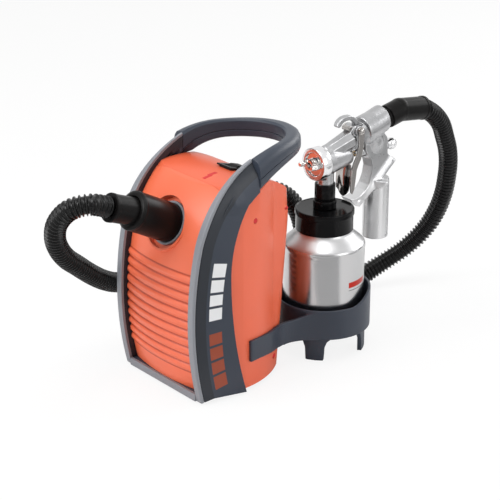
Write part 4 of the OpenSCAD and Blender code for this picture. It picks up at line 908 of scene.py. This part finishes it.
casting = melted("gun_casting", [
    solid_copy("gun_body", "gun_casting"),
    # Air way: an eight-sided taper with a flat ridge, from the ring up to the hook
    rod(gun_at(0, -6, 7.2), gun_at(0, 38, 19.8), 9.6, 12.6, sides=8, turn=22.5),
    # Swellings under the inlet and round the rear block
    ball(gun_at(0, 64, 23.5), (15.6, 15.6, 16.4)),
    ball(gun_at(0, 77, 12), (13.5, 17, 21)),
    # Bosses of the needle and the knob
    rod(gun_at(0, 52.5, 0), gun_at(0, 66, 0), 6.6),
    rod(gun_at(0, 84, 0), gun_at(0, 98.4, 0), 8.2, 7.4),
    # Ends of the guard and the skirt
    ball(gun_at(0, 49, -60.5), (10.5, 8.5, 5.5)),
    ball(gun_at(0, 106, -17.5), (10, 6, 4)),
], 0.72)
print("casting melted")

# %% [markdown]
# Then the skin is shaped. Along the skirt's lower edge it flares out sideways, and
# behind the trigger it is drawn in a little, more so in the upper part. After some
# rounds of smoothing the bores for the nozzle, needle and knob are cut, so they stay
# true.

# %% Skirt, heel and bores
skirt_far, skirt_near = gun_at(0, 110, -18) * MM, gun_at(0, 50, -66.5) * MM
run = (skirt_near - skirt_far).normalized()
inside = Vector((0, run.z, -run.y))
flare_most, flare_from, flare_run, flare_reach = 0.42, 50, 30, 13
heel_from, heel_less, heel_less_above = 72, 0.13, 0.2


def near_edge(from_edge, y):
    return -1.5 < from_edge < 24 and y > 48


for vertex in casting.data.vertices:
    from_edge = (vertex.co - skirt_far).dot(inside) / MM
    y, z = vertex.co.y / MM - GUN[1], vertex.co.z / MM - GUN[2]
    if near_edge(from_edge, y):
        flare = 1 + (flare_most * smooth_step((y - flare_from) / flare_run)
                     * (1 - smooth_step((from_edge - 0.5) / flare_reach)))
        vertex.co.x = GUN[0] * MM + (vertex.co.x - GUN[0] * MM) * flare
    if y > heel_from:
        less = heel_less + heel_less_above * smooth_step((z - 10) / 12)
        keep = 1 - less * smooth_step((z + 45) / 20)
        vertex.co.y = (GUN[1] + heel_from + (y - heel_from) * keep) * MM
softened(casting, 7)
bore_profile = [(0, -9), (7, -9), (7, 12), (2.5, 12), (2.5, 28), (4.2, 28), (4.2, 56), (2.5, 56),
                (2.5, 73), (5.2, 73), (5.2, 118), (0, 118)]
cut_by(casting, lathe("bores", bore_profile, GUN, (0, 1, 0), 32))
only(casting)
bpy.ops.object.shade_smooth_by_angle(angle=math.radians(50))
adopt(casting, "gun_body")
print("casting triangles", sum(len(f.vertices) - 2 for f in casting.data.polygons))

# %% [markdown]
# ## Trigger, hook and pins
# The trigger is a bright casting: two thin arms hang from the pin beside the body and
# carry a broad polished blade for two fingers.

# %% Trigger arms
arm_outline = [(40.6, 34), (42, 36), (48, 36), (49.5, 34), (50, 28), (48.6, 8), (45.4, -4),
               (41.5, -10.5), (39, -16), (37.4, -28), (35.6, -40), (32.5, -46), (30, -43),
               (29.6, -32), (30.6, -16), (33, -8), (39, 3), (41.4, 14), (41.2, 28)]
for k, (low, high) in enumerate(((-14, -11.5), (11.5, 14))):
    arm = plate(f"trigger_arm_{k}", arm_outline, low, high, GUN)
    adopt(bevelled(arm, 0.8 * MM), "trigger", finish=chrome)
print("arms made")

# %% [markdown]
# The blade is a grid shaped to a leaf and bowed forward. It is given a thickness, its
# rim is bevelled, and one subdivision rounds it.

# %% Trigger blade
# Height below the barrel's axis, half width
blade_width = [(-9, 9.5), (-14, 10.8), (-22, 11.4), (-34, 11.4), (-41, 9.6), (-46, 6.8),
               (-49, 3.6), (-50, 1.0)]
blade_middle, blade_half = -29.5, 20.5
# The bow: forward place, height of its crown, and how fast it falls back and across
bow_y, bow_z, bow_down, bow_across = 28.2, -33, 0.0050, 0.018


def half_width(z):
    """The blade's half width at a height."""
    for (z0, w0), (z1, w1) in zip(blade_width, blade_width[1:]):
        if z1 <= z <= z0:
            return w0 + (w1 - w0) * (z0 - z) / (z0 - z1)
    return blade_width[0][1] if z > blade_width[0][0] else blade_width[-1][1]


blade = primitive(bpy.ops.mesh.primitive_grid_add, x_subdivisions=14, y_subdivisions=26, size=2)
blade.name = "trigger_blade"
for vertex in blade.data.vertices:
    z = blade_middle + blade_half * vertex.co.y
    across = vertex.co.x * half_width(z)
    bow = bow_y + bow_down * (z - bow_z) ** 2 + bow_across * across * across
    vertex.co = gun_at(across, bow, z) * MM
wall = blade.modifiers.new("wall", "SOLIDIFY")
wall.thickness, wall.offset = 2.4 * MM, 0
edge = blade.modifiers.new("edge", "BEVEL")
edge.width, edge.segments = 0.7 * MM, 2
edge.limit_method, edge.angle_limit = "ANGLE", math.radians(50)
finer = blade.modifiers.new("finer", "SUBSURF")
finer.levels = finer.render_levels = 1
apply_all(blade)
bpy.ops.object.shade_smooth()
adopt(blade, "trigger", finish=chrome)
print("trigger made")

# %% [markdown]
# The hook is cast flat, thick at its free tip and thin over its top, and ends in a foot
# between the arms. The trigger's pin has domed heads.

# %% Hook and pin
hook_outline = [(15.2, 40.6), (16.4, 44.2), (19.6, 47.6), (24.4, 49.8), (30, 50.6), (36.2, 50.2),
                (41.4, 48.2), (46.2, 44.2), (49.8, 39.6), (51, 36.6), (44.6, 36.6), (43.4, 39.8),
                (40.4, 42.6), (36, 44.4), (30.6, 44.8), (25.6, 43.8), (22.6, 41.6), (21, 39.2),
                (18.2, 38.2), (15.8, 38.8)]
adopt(bevelled(plate("hook_shell", hook_outline, -4, 4, GUN), 1.4 * MM, 50, 4), "hanging_hook")
pin_x = 14.4
# A head as (radius, distance past the shank's end)
head = [(2.4, 0), (4.2, 0), (4.2, 0.4), (3.2, 1.5), (1.8, 2.1), (0, 2.2)]
pin_profile = ([(r, -pin_x - d) for r, d in reversed(head)] + [(r, pin_x + d) for r, d in head])
adopt(lathe("pin_shell", pin_profile, gun_at(0, 45, 31), (1, 0, 0), 32), "trigger_pin",
      finish=chrome)
stay_profile = [(0, -6.4), (2.6, -6.2), (3.2, -5.6), (3.2, 5.6), (2.6, 6.2), (0, 6.4)]
join_in(lathe("hook_stay", stay_profile, gun_at(0, 33.5, 34.5), (1, 0, 0), 32), "hanging_hook",
        finish=chrome)
print("hook made")

# %% [markdown]
# ## Air cap and ring
# The ring is bright and smooth outside. The cap inside it is polished, so its flat
# face mirrors the housing, and its centre has grooves that read as dark lines.

# %% Air cap and ring
forward = (0, 1, 0)
ring_profile = [(14.2, -19.0), (14.8, -19.6), (18.9, -20), (19.6, -19.7), (20, -19), (20, -7.4),
                (19.7, -6.5), (18.8, -6.1), (17.4, -6.1), (17.4, -17.4), (14.2, -17.4),
                (14.2, -19.0)]
cap_profile = [(3.6, -26), (6.3, -26), (7, -25.4), (7, -24.2), (6.3, -23.9), (6.3, -23.1),
               (7, -22.8), (7, -21.6), (6.3, -21.3), (6.3, -20.5), (7, -20.2), (7, -18.6),
               (8.2, -17.6), (13.6, -17.6), (13.9, -17.2), (16, -16.9), (16, -6.6), (9.4, -6.6),
               (9.4, -15.6), (3.6, -15.6), (3.6, -26)]
adopt(lathe("ring_shell", ring_profile, GUN, forward, 96), "air_cap_ring")
adopt(lathe("cap_shell", cap_profile, GUN, forward, 96), "air_cap", finish=polished)
print("cap made")

# %% [markdown]
# Two horns with a side hole each shape the fan of paint. The nozzle sits in the cap's
# centre, and the needle's packing nut is a turned hexagon.

# %% Horns, nozzle and nut
horn_x = 10.2
horn_profile = [(0, -32), (2.2, -32), (2.9, -31.4), (3.1, -30), (3.4, -24), (3.8, -17), (0, -17)]
hole_profile = [(0, -6), (1.0, -6), (1.0, 6), (0, 6)]
for k, side in enumerate((-1, 1)):
    horn = lathe(f"horn_{k}", horn_profile, gun_at(side * horn_x, 0, 0), forward, 32)
    cut_by(horn, lathe("hole", hole_profile, gun_at(side * horn_x, -29, 0), (1, 0, 0), 20))
    join_in(horn, "air_cap", finish=polished)
nozzle_profile = [(1.62, -28), (1.9, -28), (3.1, -15.4), (5, -15.4), (5, -14.8), (6.9, -14.8),
                  (6.9, 11.9), (1.62, 11.9), (1.62, -28)]
adopt(lathe("nozzle_shell", nozzle_profile, GUN, forward, 48), "fluid_nozzle", finish=polished)
nut_profile = [(1.62, 28.6), (4.1, 28.6), (4.1, 36.1), (5.2, 36.2), (5.4, 36.6), (5.4, 41.4),
               (5, 41.9), (3.2, 42), (1.62, 42), (1.62, 28.6)]
adopt(lathe("nut_shell", nut_profile, GUN, forward, 6), "packing_nut")
print("nozzle made")

# %% [markdown]
# ## Studio
# The floor is pale paper. To the camera it glows almost white, so that it has no edge
# and keeps only a faint shadow.

# %% Floor
floor = primitive(bpy.ops.mesh.primitive_plane_add, size=12)
floor.name = "floor"
floor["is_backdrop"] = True
ground = Finish("floor_paper", (0.93, 0.93, 0.93), 0.9)
seen = ground.node("ShaderNodeLightPath", output="Is Camera Ray")
paper = Signal(ground, ground.main.outputs[0])
glow = ground.node("ShaderNodeEmission", None, {"Color": (1, 1, 1, 1)})
shown = ground.node("ShaderNodeMixShader", None, {0: seen * 0.86, 1: paper, 2: glow})
ground.plug(shown, ground.tree.nodes["Material Output"].inputs[0])
floor.data.materials.append(ground.material)
print("floor ready")

# %% [markdown]
# The world is even and white. The camera and shiny faces see it pure white, and it
# lights the set more weakly than that.

# %% World
ambient = 0.42
world = bpy.data.worlds.new("studio")
bpy.context.scene.world = world
world.use_nodes = True
sky = world.node_tree
paths = sky.nodes.new("ShaderNodeLightPath")
total = None
for ray in ("Is Camera Ray", "Is Glossy Ray", "Is Transmission Ray"):
    step = sky.nodes.new("ShaderNodeMath")
    step.operation = "MAXIMUM"
    step.inputs[0].default_value = 0
    if total:
        sky.links.new(total.outputs[0], step.inputs[0])
    sky.links.new(paths.outputs[ray], step.inputs[1])
    total = step
mix = sky.nodes.new("ShaderNodeMixShader")
white_back = sky.nodes.new("ShaderNodeBackground")
lit_back = sky.nodes["Background"]
for background, strength in ((white_back, 1.0), (lit_back, ambient)):
    background.inputs[0].default_value = (1, 1, 1, 1)
    background.inputs[1].default_value = strength
sky.links.new(total.outputs[0], mix.inputs[0])
sky.links.new(lit_back.outputs[0], mix.inputs[1])
sky.links.new(white_back.outputs[0], mix.inputs[2])
sky.links.new(mix.outputs[0], sky.nodes["World Output"].inputs[0])
print("world ready")

# %% [markdown]
# The lamps are soft: a broad one above shades the ribs, one in front lights the panel,
# and weaker ones stand at the side and behind for the metal.

# %% Lamps
def lamp(name, where, aim_at, size, power):
    data = bpy.data.lights.new(name, "AREA")
    data.shape, data.size, data.energy = "SQUARE", size, power
    light = bpy.data.objects.new(name, data)
    bpy.context.scene.collection.objects.link(light)
    light.location = where
    light.rotation_euler = (Vector(aim_at) - Vector(where)).to_track_quat("-Z", "Y").to_euler()


lamp("above", (0.1, -0.3, 2.2), (0, 0, 0.12), 1.4, 19)
lamp("front", (-0.6, -1.9, 1.5), (0, 0, 0.12), 1.2, 28)
lamp("side", (2.0, 0.5, 1.0), (0, 0, 0.12), 1.0, 9)
lamp("rear", (-0.2, 2.1, 1.0), (0, 0, 0.15), 1.0, 11)
lamp("rear_right", (0.8, 2.0, 1.3), (0, 0, 0.2), 0.8, 7)
print("lamps ready")

# %% [markdown]
# Grey and dark cards, which only reflections see, give round metal the tones and the
# dark edges that it shows in a real tent. Two lie on the table and three stand round
# the set.

# %% Cards
def card(name, where, aim_at, width, height, tone):
    """A grey card that only reflections see."""
    piece = primitive(bpy.ops.mesh.primitive_plane_add, size=1)
    piece.name = name
    turn = frame_along(Vector(aim_at) - Vector(where))
    piece.data.transform(Matrix.Translation(where) @ turn @ Matrix.Diagonal((width, height, 1, 1)))
    paper = Finish(name, (0, 0, 0), 1.0, Specular_IOR_Level=0.0, Emission_Strength=1.0)
    paper.set("Emission Color", (tone, tone, tone, 1))
    piece.data.materials.append(paper.material)
    piece.visible_camera = piece.visible_diffuse = piece.visible_shadow = False
    piece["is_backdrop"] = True


card("card_camera", (2.35, -1.95, 1.25), (0, 0, 1.1), 3.4, 2.4, 0.5)
card("card_table", (0.52, -0.27, 0.002), (0.52, -0.27, 1.0), 0.78, 0.66, 0.62)
card("card_table_rear", (0.66, 0.64, 0.002), (0.66, 0.64, 1.0), 0.62, 0.62, 0.5)
card("card_right", (0.9, 2.7, 0.9), (0, 0, 0.8), 0.6, 1.8, 0.03)
card("card_left", (-2.4, -1.4, 0.9), (0, 0, 0.8), 0.8, 1.8, 0.05)
bpy.context.scene.view_settings.view_transform = "Standard"
print("studio ready")

# %% [markdown]
# Last, the box of the solids and of what shows are written down side by side.

# %% Sizes, then the last line
low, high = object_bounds()
